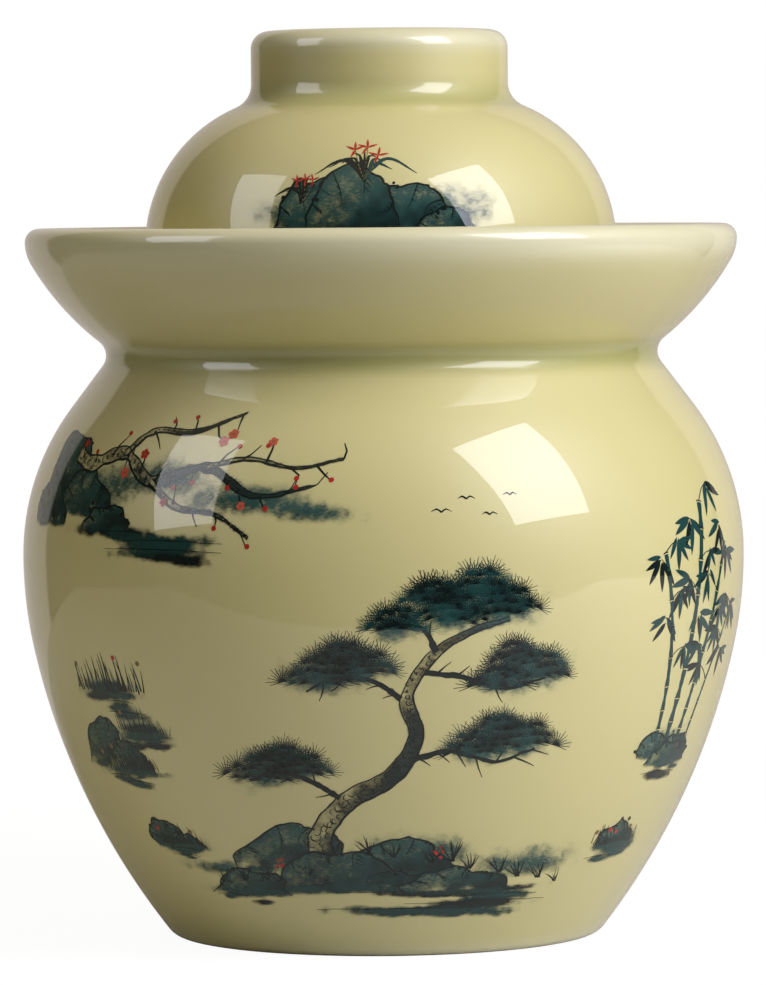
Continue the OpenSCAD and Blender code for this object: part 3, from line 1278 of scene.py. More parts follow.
@dataclass
class Shore:
    """Low water lines: long soft streaks with a few thin ones."""

    at: Point
    width: float
    height: float
    count: int = 7
    ink: Ink = Ink.PINE

    def brush(self, sheet: Sheet) -> None:
        """Brushes the streaks."""
        hand = sheet.hand
        for step in range(self.count):
            down = (step + hand.uniform(-0.3, 0.3)) / self.count
            reach = self.width / 2 * hand.uniform(0.25, 0.6)
            spot = (self.at[0] + hand.uniform(-1, 1) * (self.width / 2 - reach), self.at[1] - down * self.height)
            ink = Ink.LAMP if hand.random() < 0.35 else self.ink
            thick = min(hand.uniform(1.7, 3.4), reach / 5)
            sheet.wet.append(Dab(spot, (reach, thick), ink, hand.uniform(0.85, 1.0), hand.normal(0, 2), 0.85))
            if step % 2:
                ends = np.array([[-reach * 0.9, 0], [0, 0.4], [reach * 0.9, -0.2]]) + spot + (0, 0.8)
                sheet.line(ends, (0.1, 0.35, 0.1), Ink.LAMP, 0.9)


@dataclass
class Pine:
    """An old pine: a scaly trunk, crooked boughs and flat pads of needles."""

    trunk: list[Point]
    girth: tuple[float, ...]
    boughs: list[list[Point]]
    pads: list[tuple[float, float, float]]  # centre and half length of each pad of needles
    needle: float = 5.6

    def brush(self, sheet: Sheet) -> None:
        """Brushes bark, boughs and needles."""
        for bough in self.boughs:
            self.bough(sheet, bough, 2.2, 0.7)
        sheet.limb(self.trunk, self.girth)
        for x, y, reach in self.pads:
            self.pad(sheet, np.array([x, y]), reach)

    def bough(self, sheet: Sheet, way: list[Point], thick: float, thin: float) -> None:
        """Brushes one bough with short side twigs.

        Args:
            sheet: Where it goes.
            way: Where the bough passes.
            thick: Its width at the trunk.
            thin: Its width at the tip.
        """
        hand = sheet.hand
        path = sheet.line(way, (thick, (thick + thin) / 2, thin), Ink.LAMP, 0.95, 0.35)
        for spot, ahead in zip(path[4::5], path[5::5]):
            side = hand.choice([-1, 1])
            way_out = (ahead - spot) / max(np.linalg.norm(ahead - spot), 1e-6)
            out = way_out + side * np.array([-way_out[1], way_out[0]]) * hand.uniform(0.7, 1.4)
            tip = spot + out * hand.uniform(2.5, 5)
            sheet.line([spot, (spot + tip) / 2 + hand.normal(0, 0.3, 2), tip], (thin, 0.2), Ink.LAMP)

    def pad(self, sheet: Sheet, middle: np.ndarray, reach: float) -> None:
        """Brushes one pad of needles.

        Args:
            sheet: Where it goes.
            middle: Its middle.
            reach: Half of its length.
        """
        hand, high = sheet.hand, reach * 0.34
        sheet.wet.append(Dab(tuple(middle + (0, high * 0.5)), (reach * 1.5, high * 2.4), Ink.MIST, 0.6, 0, 1.0))
        sheet.wet.append(Dab(tuple(middle + (0, high * 0.4)), (reach * 1.3, high * 1.6), Ink.PINE, 0.8, 0, 1.0))
        for row in range(3):
            for x in np.arange(-reach, reach + 0.1, 3.4) * (1 - 0.26 * row) + hand.normal(0, 0.5):
                rise = high * 0.8 * row * (1 - (x / reach) ** 2 * 0.4)
                spot = middle + (x, rise + hand.normal(0, 0.5))
                ink = Ink.LAMP if hand.random() < 0.65 else Ink.PINE
                turn = -x / reach * 24 + hand.normal(0, 6)
                sheet.grow(Motif.FAN, tuple(spot), turn, self.needle * hand.uniform(0.7, 1.05), ink)


@dataclass
class Bamboo:
    """Jointed stems with drooping bunches of leaves."""

    stems: list[tuple[Point, float, float, float]]  # foot, height, lean in degrees and width of each
    leaf: float = 7.5
    bunches: int = 5

    def brush(self, sheet: Sheet) -> None:
        """Brushes stems, twigs and leaves."""
        for foot, height, lean, width in self.stems:
            self.stem(sheet, np.array(foot), height, lean, width)

    def stem(self, sheet: Sheet, foot: np.ndarray, height: float, lean: float, width: float) -> None:
        """Brushes one stem.

        Args:
            sheet: Where it goes.
            foot: Its foot.
            height: Its height.
            lean: Its lean to the right, in degrees.
            width: Its width.
        """
        hand = sheet.hand
        joints = np.cumsum(np.r_[0, np.interp(np.linspace(0, 1, 8), [0, 0.5, 1], [0.6, 1.3, 0.9])])
        joints = joints / joints[-1]
        turns = np.radians(90 - lean * (0.4 + joints))
        places = foot + height * np.stack([joints * np.cos(turns), joints * np.sin(turns)], 1)
        ink = Ink.PINE if width > 1.2 else Ink.MIST
        for a, b in zip(places, places[1:]):
            gap = (b - a) / np.linalg.norm(b - a) * 0.35
            sheet.line([a + gap, (a + b) / 2, b - gap], (width * 1.15, width * 0.85, width * 0.85, width * 1.15), ink, 0.9, 0.05)
            across = np.array([gap[1], -gap[0]]) / 0.35 * width * 0.7
            sheet.line([b - across, b + (0, 0.25), b + across], (0.3, 0.5, 0.3), Ink.LAMP, 1.0, 0.02)
        for k in range(self.bunches):
            joint = places[-1 - k % 6]
            side = 1 if (k + int(foot[0])) % 2 else -1
            tip = joint + (side * hand.uniform(3, 8), hand.uniform(2, 6))
            sheet.line([joint, (joint + tip) / 2 + (0, 0.8), tip], (0.5, 0.25), Ink.LAMP)
            self.bunch(sheet, tip, side)

    def bunch(self, sheet: Sheet, tip: np.ndarray, side: int) -> None:
        """Brushes one bunch of leaves that hangs from a twig's tip."""
        hand = sheet.hand
        for turn in (-90 + side * 62, -90 + side * 30, -90 - side * 4, -90 - side * 38, -90 + side * 88):
            ink = Ink.LAMP if hand.random() < 0.35 else Ink.PINE
            spot = tip + hand.normal(0, 0.6, 2)
            sheet.grow(Motif.LEAF, tuple(spot), turn + hand.normal(0, 9), self.leaf * hand.uniform(0.7, 1.15), ink)


@dataclass
class PlumBranch:
    """A crooked branch in blossom."""

    limbs: list[tuple[list[Point], float]]  # way and width of each
    blossom: float = 3.4

    def brush(self, sheet: Sheet) -> None:
        """Brushes limbs, twigs, blossoms and buds."""
        hand = sheet.hand
        for way, width in self.limbs:
            path = sheet.limb(way, (width, width * 0.8, width * 0.55, 0.5), 0.8)
            for spot in path[4::8]:
                out = np.array([hand.uniform(-0.4, 0.9), hand.choice([-1, 1]) * hand.uniform(0.6, 1)])
                tip = spot + out * hand.uniform(4, 9)
                elbow = (spot + tip) / 2 + hand.normal(0, 0.7, 2)
                sheet.line([spot, elbow, tip], (0.8, 0.55, 0.3), Ink.LAMP, 1.0, 0.1, False)
                if hand.random() < 0.75:
                    self.flower(sheet, tip + hand.normal(0, 0.6, 2), hand.random())

    def flower(self, sheet: Sheet, place: np.ndarray, chance: float) -> None:
        """Brushes a blossom, or a bud where chance is low."""
        hand = sheet.hand
        if chance > 0.6:
            sheet.grow(Motif.BLOSSOM, tuple(place), hand.uniform(0, 72), self.blossom * hand.uniform(0.8, 1.2),
                       Ink.RED if chance > 0.75 else Ink.ROSE, True)
            sheet.grow(Motif.DOT, tuple(place), 0, 0.9, Ink.OCHRE, True)
        else:
            sheet.grow(Motif.DOT, tuple(place), hand.uniform(0, 90), self.blossom * 0.5, Ink.RED, True)


@dataclass
class Birds:
    """A few birds far off."""

    places: list[tuple[float, float, float]]  # place and span of each

    def brush(self, sheet: Sheet) -> None:
        """Brushes two wing strokes for each."""
        for x, y, span in self.places:
            for side in (-1, 1):
                way = [(x, y), (x + side * span * 0.22, y + span * 0.16), (x + side * span * 0.5, y + span * 0.02)]
                sheet.line(way, (0.55, 0.5, 0.12), Ink.LAMP, 1.0, 0.02)


@dataclass
class ReedIslet:
    """A low islet with a thicket of reeds over dark streaks of water."""

    at: Point
    width: float
    height: float = 9.0

    def brush(self, sheet: Sheet) -> None:
        """Brushes thicket, reeds and water."""
        hand, (x, y) = sheet.hand, self.at
        sheet.wet.append(Dab((x, y + 1), (self.width * 0.42, self.height * 0.26), Ink.LAMP, 0.85, 0, 0.8, 0.6))
        sheet.wet.append(Dab((x + self.width * 0.1, y - 1.2), (self.width * 0.56, 1.7), Ink.PINE, 0.8, 0, 0.9))
        Shore((x, y - 2), self.width * 1.15, self.height * 0.55, 4).brush(sheet)
        for place in np.linspace(-0.4, 0.4, int(self.width / 1.3)):
            tall = self.height * (1 - 2.2 * place * place) * hand.uniform(0.5, 1.1)
            foot = (x + place * self.width, y + hand.uniform(-0.5, 0.8))
            sheet.grow(Motif.BLADE, foot, 90 + hand.normal(0, 11), tall, Ink.LAMP if hand.random() < 0.7 else Ink.PINE)
            if hand.random() < 0.16:
                head = (foot[0] + hand.normal(0, 0.4), foot[1] + tall * 0.95)
                sheet.grow(Motif.DOT, head, 80, 1.7, Ink.RED if hand.random() < 0.5 else Ink.OCHRE, True)


@dataclass
class Orchid:
    """Long grassy leaves that arch out of one root, with small flowers."""

    at: Point
    reach: float
    leaves: int = 9

    def brush(self, sheet: Sheet) -> None:
        """Brushes leaves and flowers."""
        hand, root = sheet.hand, np.array(self.at)
        for share in np.linspace(-1, 1, self.leaves):
            long = self.reach * hand.uniform(0.65, 1.05)
            tip = root + (share * long, long * (0.75 - 0.62 * abs(share)) * hand.uniform(0.8, 1.1))
            knee = root + (share * long * 0.42, long * (0.62 - 0.18 * abs(share)))
            sheet.line([root + hand.normal(0, 0.6, 2), knee, tip], (0.5, 1.3, 0.9, 0.15), Ink.LAMP if share < 0.4 else Ink.PINE)
        for share in (-0.35, 0.1, 0.5):
            top = root + (share * self.reach * 0.5, self.reach * hand.uniform(0.5, 0.7))
            sheet.line([root, (root + top) / 2 + (share, 0), top], (0.35, 0.25), Ink.OCHRE)
            for turn in (20, 90, 160, 250):
                sheet.grow(Motif.LEAF, tuple(top), turn + hand.normal(0, 10), self.reach * 0.2, Ink.RED, True)


class FlatTrees:
    """The two geometry trees that draw flat marks: pulled strokes and scattered sprigs."""

    def __init__(self, ink: bpy.types.Material) -> None:
        """Builds both trees and the small motifs.

        Args:
            ink: What they draw with.
        """
        self.ink = ink
        self.strokes, self.stroke_keys = self.tree("pulled_strokes", {"Material": "Material"})
        self.draw_strokes(NodeTree(self.strokes))
        self.sprigs, self.sprig_keys = self.tree("scattered_sprigs", {"Motif": "Object", "Material": "Material"})
        self.draw_sprigs(NodeTree(self.sprigs))
        self.motifs = {motif: self.motif(motif) for motif in Motif}

    def tree(self, name: str, inputs: dict[str, str]) -> tuple[bpy.types.NodeTree, dict[str, str]]:
        """An empty geometry tree.

        Args:
            name: Its name.
            inputs: Kind of each input beside the geometry.

        Returns:
            The tree and each input's identifier.
        """
        tree = bpy.data.node_groups.new(name, "GeometryNodeTree")
        tree.interface.new_socket("Geometry", in_out="INPUT", socket_type="NodeSocketGeometry")
        keys = {
            label: tree.interface.new_socket(label, in_out="INPUT", socket_type="NodeSocket" + kind).identifier
            for label, kind in inputs.items()
        }
        tree.interface.new_socket("Geometry", in_out="OUTPUT", socket_type="NodeSocketGeometry")
        return tree, keys

    def draw_strokes(self, t: NodeTree) -> None:
        """Widens each chain of edges into a flat ribbon of its own width.

        Args:
            t: The tree.
        """
        given = t.add("NodeGroupInput").outputs
        half = t.add("GeometryNodeInputNamedAttribute", {"Name": "half"}, data_type="FLOAT").outputs[0]
        curve = t.add("GeometryNodeMeshToCurve", {"Mesh": given["Geometry"]}).outputs[0]
        level = t.add("GeometryNodeSetCurveNormal", {"Curve": curve}, mode="Z_UP").outputs[0]
        tip = t.add("GeometryNodeCurvePrimitiveLine", {"Start": (-1, 0, 0), "End": (1, 0, 0)}).outputs[0]
        tip = t.add("GeometryNodeResampleCurve", {"Curve": tip, "Count": 3}, mode="COUNT").outputs[0]
        ribbon = t.add("GeometryNodeCurveToMesh", {"Curve": level, "Profile Curve": tip, "Scale": half}).outputs[0]
        self.finish(t, ribbon, given["Material"])

    def draw_sprigs(self, t: NodeTree) -> None:
        """Puts a motif on each point at the point's own turn and size.

        Args:
            t: The tree.
        """
        given = t.add("NodeGroupInput").outputs
        read = {
            name: t.add("GeometryNodeInputNamedAttribute", {"Name": name}, data_type="FLOAT").outputs[0]
            for name in ("turn", "size")
        }
        mark = t.add("GeometryNodeObjectInfo", {"Object": given["Motif"], "As Instance": False}).outputs["Geometry"]
        angle = t.add("ShaderNodeCombineXYZ", {"Z": read["turn"]}).outputs[0]
        inputs = {
            "Points": given["Geometry"],
            "Instance": mark,
            "Rotation": t.add("FunctionNodeEulerToRotation", {0: angle}).outputs[0],
            "Scale": read["size"],
        }
        placed = t.add("GeometryNodeInstanceOnPoints", inputs).outputs[0]
        self.finish(t, placed, given["Material"])

    def finish(self, t: NodeTree, shape: bpy.types.NodeSocket, ink: bpy.types.NodeSocket) -> None:
        """Ends a tree: real faces, inked.

        Args:
            t: The tree.
            shape: What it has drawn.
            ink: Its material.
        """
        real = t.add("GeometryNodeRealizeInstances", {"Geometry": shape}).outputs[0]
        inked = t.add("GeometryNodeSetMaterial", {"Geometry": real, "Material": ink}).outputs[0]
        t.add("NodeGroupOutput", {"Geometry": inked})

    def motif(self, motif: Motif) -> bpy.types.Object:
        """Draws one motif, one unit long, from its root at the origin.

        Args:
            motif: Which one.

        Returns:
            A flat object for the sprig tree.
        """
        share = np.linspace(0, 1, 7)
        straight = np.stack([share, 0 * share], 1)
        if motif is Motif.FAN:
            marks = [(turned(straight * long, turn), 0.03 * (1 - share * 0.6)) for turn, long in zip(
                np.linspace(-4, 184, 13), (0.75, 0.9, 1.0) * 5)]
        elif motif is Motif.LEAF:
            marks = [(straight, 0.115 * np.sin(np.pi * share**0.75) ** 0.8 + 0.004)]
        elif motif is Motif.BLADE:
            arch = np.stack([share, 0.12 * share**2], 1)
            marks = [(arch, 0.035 * (1 - share) ** 0.6 + 0.004)]
        elif motif is Motif.BLOSSOM:
            petal = np.stack([0.06 + 0.44 * share, 0 * share], 1)
            marks = [(turned(petal, turn), 0.215 * np.sin(np.pi * (0.04 + 0.92 * share)) ** 0.5) for turn in range(0, 360, 72)]
        else:
            marks = [(straight - (0.5, 0), 0.5 * np.sqrt(np.clip(1 - (2 * share - 1) ** 2, 0.02, 1)))]
        drawn = self.pulled([Stroke(way, half, Ink.LAMP) for way, half in marks])
        mesh = bpy.data.meshes.new(motif.value)
        mesh.from_pydata(np.pad(drawn.points, ((0, 0), (0, 1))), [], drawn.faces.tolist())
        return bpy.data.objects.new(motif.value, mesh)

    def pulled(self, strokes: list[Stroke]) -> Flat:
        """Draws strokes.

        Args:
            strokes: The strokes.

        Returns:
            Their ribbons.
        """
        starts = np.cumsum([0] + [len(s.way) for s in strokes[:-1]])
        edges = [(i, i + 1) for s, start in zip(strokes, starts) for i in range(start, start + len(s.way) - 1)]
        places = np.pad(np.vstack([s.way for s in strokes]), ((0, 0), (0, 1)))
        lengths = [len(s.way) for s in strokes]
        values = {
            "half": np.concatenate([s.half for s in strokes]),
            "load": np.repeat([s.load for s in strokes], lengths),
            "tint": np.repeat([s.ink.value[:3] for s in strokes], lengths, 0),
        }
        return self.drawn(self.strokes, {self.stroke_keys["Material"]: self.ink}, places, edges, values)

    def scattered(self, motif: Motif, sprigs: list[Sprig]) -> Flat:
        """Draws one motif many times.

        Args:
            motif: The motif.
            sprigs: Where and how it is drawn.

        Returns:
            All its marks.
        """
        places = np.array([(*s.at, 0.0) for s in sprigs])
        values = {
            "turn": np.radians([s.turn for s in sprigs]),
            "size": np.array([s.size for s in sprigs]),
            "load": np.ones(len(sprigs)),
            "tint": np.array([s.ink.value[:3] for s in sprigs]),
        }
        inputs = {self.sprig_keys["Motif"]: self.motifs[motif], self.sprig_keys["Material"]: self.ink}
        return self.drawn(self.sprigs, inputs, places, [], values)

    def drawn(self, tree: bpy.types.NodeTree, inputs: dict, places: np.ndarray, edges: list, values: dict) -> Flat:
        """Runs one of the trees and reads its flat faces.

        Args:
            tree: The tree.
            inputs: Its inputs, by identifier.
            places: Points that it starts from.
            edges: Edges between them.
            values: Attributes of the points.

        Returns:
            The faces.
        """
        mesh = bpy.data.meshes.new("marks")
        mesh.from_pydata(places, edges, [])
        for name, value in values.items():
            kind, key = ("FLOAT_VECTOR", "vector") if np.ndim(value) == 2 else ("FLOAT", "value")
            mesh.attributes.new(name, kind, "POINT").data.foreach_set(key, np.ravel(value).astype(np.float32))
        piece = grown(bpy.data.objects.new("marks", mesh), tree, inputs, "marks")
        made = piece.data
        points, faces = np.empty(len(made.vertices) * 3), np.empty(len(made.polygons) * 4, int)
        made.vertices.foreach_get("co", points)
        made.loops.foreach_get("vertex_index", faces)
        found = {}
        for name, width in (("tint", 3), ("load", 1)):
            found[name] = np.ones(len(made.vertices) * width)
            if name in made.attributes:
                made.attributes[name].data.foreach_get("vector" if width == 3 else "value", found[name])
        bpy.data.objects.remove(piece)
        return Flat(points.reshape(-1, 3)[:, :2], faces.reshape(-1, 4), found["tint"].reshape(-1, 3), found["load"])


def turned(way: np.ndarray, degrees: float) -> np.ndarray:
    """A flat way turned about the origin."""
    c, s = math.cos(math.radians(degrees)), math.sin(math.radians(degrees))
    return way @ np.array([[c, s], [-s, c]])


def inside(place: np.ndarray, edge: np.ndarray) -> tuple[np.ndarray, np.ndarray]:
    """Which points a closed outline holds, and how far each is from it.

    Args:
        place: The points.
        edge: The outline.

    Returns:
        Whether each point is inside, and its distance from the outline.
    """
    held, near = np.zeros(len(place), bool), np.full(len(place), 1e9)
    for a, b in zip(edge, np.roll(edge, -1, 0)):
        way = b - a
        share = np.clip((place - a) @ way / max(way @ way, 1e-9), 0, 1)
        near = np.minimum(near, np.linalg.norm(place - a - share[:, None] * way, axis=1))
        if a[1] != b[1]:
            crossing = (a[1] > place[:, 1]) != (b[1] > place[:, 1])
            held ^= crossing & (place[:, 0] < a[0] + (place[:, 1] - a[1]) * way[0] / way[1])
    return held, near


@dataclass(frozen=True)
class Skin:
    """The outside of a thrown piece, on which flat sheets are laid."""

    profile: Profile
    body: str

    def laid(self, flat: np.ndarray, azimuth: float, height: float, lift: float) -> tuple[np.ndarray, np.ndarray]:
        """Bends flat points onto the surface.

        Args:
            flat: Points right and up of the sheet's middle, in millimetres.
            azimuth: The sheet's middle, in degrees to the right of the front.
            height: The height of its middle.
            lift: How far it lies outside the clay.

        Returns:
            Places and normals.
        """
        places, normals = self.profile.places, self.profile.normals
        along = np.concatenate([[0.0], np.cumsum(np.linalg.norm(np.diff(places, axis=0), axis=1))])
        up = np.interp(height, places[:, 1], along) + flat[:, 1]
        radius, z, out, rise = (np.interp(up, along, column) for column in (*places.T, *normals.T))
        turn = math.radians(azimuth) + flat[:, 0] / radius
        across, back = np.sin(turn), -np.cos(turn)
        at = np.stack([(radius + lift * out) * across, (radius + lift * out) * back, z + lift * rise], 1)
        return at, np.stack([out * across, out * back, rise], 1)


@dataclass
class Press:
    """Turns flat sheets into pieces that lie on a skin: a wash, its lines, and bright touches."""

    trees: FlatTrees
    wash: bpy.types.Material
    lines: bpy.types.Material
    grain: float = 0.9  # width of a wash's cells
    margin: float = 4.0
    lifts: tuple[float, float, float] = (0.03, 0.05, 0.07)

    def washed(self, sheet: Sheet) -> Flat:
        """Lays all wet touches of a sheet on one grid.

        Args:
            sheet: The sheet.

        Returns:
            The cells that hold ink.
        """
        spots = np.vstack([
            mark.edge if isinstance(mark, Pool) else np.add(mark.at, [[-max(mark.reach)], [max(mark.reach)]])
            for mark in sheet.wet
        ])
        low, high = spots.min(0) - self.margin, spots.max(0) + self.margin
        columns, rows = (int(n) for n in np.ceil((high - low) / self.grain) + 1)
        x, y = np.meshgrid(low[0] + np.arange(columns) * self.grain, low[1] + np.arange(rows) * self.grain)
        place = np.stack([x.ravel(), y.ravel()], 1)
        clear, ink, total = np.ones(len(place)), np.zeros((len(place), 3)), np.full(len(place), 1e-9)
        for step, mark in enumerate(sheet.wet):
            share = self.touched(mark, place, sheet.seed + step)
            if getattr(mark, "lifts", False):
                clear += (1 - clear) * share
                continue
            tint = np.array(mark.ink.value[:3])
            ink = ink * (1 - share[:, None]) + tint * share[:, None]
            total = total * (1 - share) + share
            clear *= 1 - share
        index = np.arange(len(place)).reshape(rows, columns)
        faces = np.stack([index[:-1, :-1], index[:-1, 1:], index[1:, 1:], index[1:, :-1]], -1).reshape(-1, 4)
        load = 1 - clear
        faces = faces[load[faces].max(1) > 0.01]
        used, faces = np.unique(faces, return_inverse=True)
        return Flat(place[used], faces.reshape(-1, 4), (ink / total[:, None])[used], load[used])

    def touched(self, mark: Dab | Pool, place: np.ndarray, seed: int) -> np.ndarray:
        """How much ink one wet touch leaves at each point.

        Args:
            mark: The touch.
            place: The points.
            seed: Seed of its ragged edge.

        Returns:
            A share for each point.
        """
        broken = cloud(place, 5.0, seed) * 0.6 + cloud(place, 1.9, seed + 1) * 0.4 - 0.5
        if isinstance(mark, Dab):
            local = turned(place - mark.at, -mark.turn) / mark.reach
            far = np.linalg.norm(local, axis=1) + mark.ragged * 2 * broken
            return mark.load * eased((1 - far) / mark.soft)
        close = ((place > mark.edge.min(0) - self.grain) & (place < mark.edge.max(0) + self.grain)).all(1)
        held, near = np.zeros(len(place), bool), np.full(len(place), self.margin)
        held[close], near[close] = inside(place[close], mark.edge)
        way = polar(math.radians(mark.dark))
        ahead = mark.edge @ way
        deep = ((place @ way) - ahead.min()) / max(np.ptp(ahead), 1e-9) + 0.6 * broken
        shade = mark.fade + (1 - mark.fade) * eased(deep)
        gathered = np.maximum(shade, 0.75 * np.exp(-near / mark.rim)) if mark.fade > 0 else shade
        if mark.melt:
            gathered = gathered * eased((place[:, 1] - mark.edge[:, 1].min()) / mark.melt + 1.2 * broken)
        return mark.load * np.clip(gathered, 0, 1) * eased(np.where(held, near, -near) / self.grain + 0.5)

    def lay(self, sheet: Sheet, skin: Skin, azimuth: float, height: float) -> None:
        """Makes the pieces of one sheet.

        Args:
            sheet: The sheet.
            skin: What it is laid on.
            azimuth: Its middle, in degrees to the right of the front.
            height: The height of its middle.
        """
        layers = {}
        if sheet.wet:
            layers["wash"] = (self.washed(sheet), self.wash)
        drawn = [self.trees.pulled(sheet.strokes)] if sheet.strokes else []
        drawn += [self.trees.scattered(motif, marks) for motif, marks in sheet.sprigs.items()]
        if drawn:
            layers["ink"] = (Flat.joined(drawn), self.lines)
        if sheet.accents:
            bright = [self.trees.scattered(motif, marks) for motif, marks in sheet.accents.items()]
            layers["red"] = (Flat.joined(bright), self.lines)
        for lift, (label, (flat, material)) in zip(self.lifts, layers.items()):
            places, normals = skin.laid(flat.points, azimuth, height, lift)
            piece = self.piece(f"{sheet.name}_{label}", flat, places * MM, normals, material)
            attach(piece, skin.body)
            log.info("%s rides on %s with %d faces", piece.name, skin.body, len(flat.faces))

    def piece(self, name: str, flat: Flat, places: np.ndarray, normals: np.ndarray,
              material: bpy.types.Material) -> bpy.types.Object:
        """Makes a piece out of a bent patchwork.

        Args:
            name: Its name.
            flat: The patchwork while flat.
            places: Its points once bent, in metres.
            normals: Their normals.
            material: Its material.

        Returns:
            The piece.
        """
        mesh = bpy.data.meshes.new(name)
        faces = flat.faces
        corners = flat.points[faces]
        spin = np.cross(corners[:, 2] - corners[:, 0], corners[:, 3] - corners[:, 1])
        faces = np.where(spin[:, None] < 0, faces[:, ::-1], faces)
        mesh.from_pydata(places, [], faces.tolist())
        mesh.attributes.new("load", "FLOAT", "POINT").data.foreach_set("value", flat.load.astype(np.float32))
        mesh.attributes.new("tint", "FLOAT_VECTOR", "POINT").data.foreach_set("vector", flat.tint.ravel().astype(np.float32))
        spot = np.pad(flat.points, ((0, 0), (0, 1)))
        mesh.attributes.new("flat", "FLOAT_VECTOR", "POINT").data.foreach_set("vector", spot.ravel().astype(np.float32))
        low, size = flat.points.min(0), np.ptp(flat.points, axis=0).max()
        mesh.uv_layers.new(name=BAKE_MAP).data.foreach_set("uv", ((flat.points - low) / size)[faces.ravel()].ravel())
        mesh.polygons.foreach_set("use_smooth", np.ones(len(faces), bool))
        mesh.normals_split_custom_set_from_vertices(normals)
        mesh.materials.append(material)
        piece = bpy.data.objects.new(name, mesh)
        bpy.context.scene.collection.objects.link(piece)
        return piece


@dataclass
class Grasses:
    """Tufts of grass and a few red flowers among them."""

    tufts: list[tuple[float, float, float]]  # place and height of each tuft
    flowers: list[Point] = field(default_factory=list)

    def brush(self, sheet: Sheet) -> None:
        """Brushes the tufts and flowers."""
        for x, y, size in self.tufts:
            sheet.tuft((x, y), int(5 + size * 0.7), size)
        for x, y in self.flowers:
            for _ in range(6):
                spot = (x + sheet.hand.normal(0, 1.2), y + sheet.hand.normal(0, 1.4))
                sheet.grow(Motif.DOT, spot, sheet.hand.uniform(0, 90), sheet.hand.uniform(0.8, 1.5), Ink.RED, True)


@dataclass
class Haze:
    """Wide wet touches behind everything else."""

    touches: list[tuple[float, float, float, float]]  # place, half length and half height of each

    def brush(self, sheet: Sheet) -> None:
        """Brushes the touches.

        Args:
            sheet: Where they go.
        """
        for x, y, reach, high in self.touches:
            sheet.wet.append(Dab((x, y), (reach * 1.2, high * 1.3), Ink.MIST, 0.5, sheet.hand.normal(0, 3), 1.0, 0.3))
            sheet.wet.append(Dab((x, y - high * 0.3), (reach, high * 0.9), Ink.PINE, 0.5, 0, 1.0, 0.35))


@dataclass
class Vignette:
    """One brushed scene and where it sits on its piece."""

    name: str
    azimuth: float
    height: float
    motifs: list[object]
    seed: int

    def lay(self, press: Press, skin: Skin) -> None:
        """Brushes the scene and lays it on the clay."""
        sheet = Sheet(self.name, self.seed)
        for motif in self.motifs:
            motif.brush(sheet)
        press.lay(sheet, skin, self.azimuth, self.height)


def old_pine() -> Pine:
    """The leaning pine of the front scene."""
    return Pine(
        trunk=[(-24, -2), (-27, 10), (-19, 23), (-5, 32), (2, 45), (-1, 58), (7, 71), (18, 78), (31, 82)],
        girth=(9.0, 7.0, 6.2, 5.4, 4.4, 3.2, 2.2, 1.2),
        boughs=[
            [(-19, 23), (-30, 30), (-41, 33), (-50, 30)],
            [(-2, 36), (12, 40), (27, 36), (40, 40)],
            [(0, 55), (-11, 63), (-23, 64), (-32, 60)],
            [(3, 66), (16, 64), (30, 60), (43, 63)],
            [(8, 72), (4, 79), (-4, 81)],
        ],
        pads=[
            (-46, 31, 11), (-33, 33, 9), (-39, 37, 7), (-27, 63, 12), (-13, 66, 9), (-20, 70, 8), (20, 39, 9), (36, 41, 12),
            (29, 46, 8), (28, 61, 9), (41, 64, 11), (34, 69, 8), (-4, 79, 10), (13, 82, 11), (31, 84, 11), (7, 88, 9), (22, 90, 10),
        ],
    )


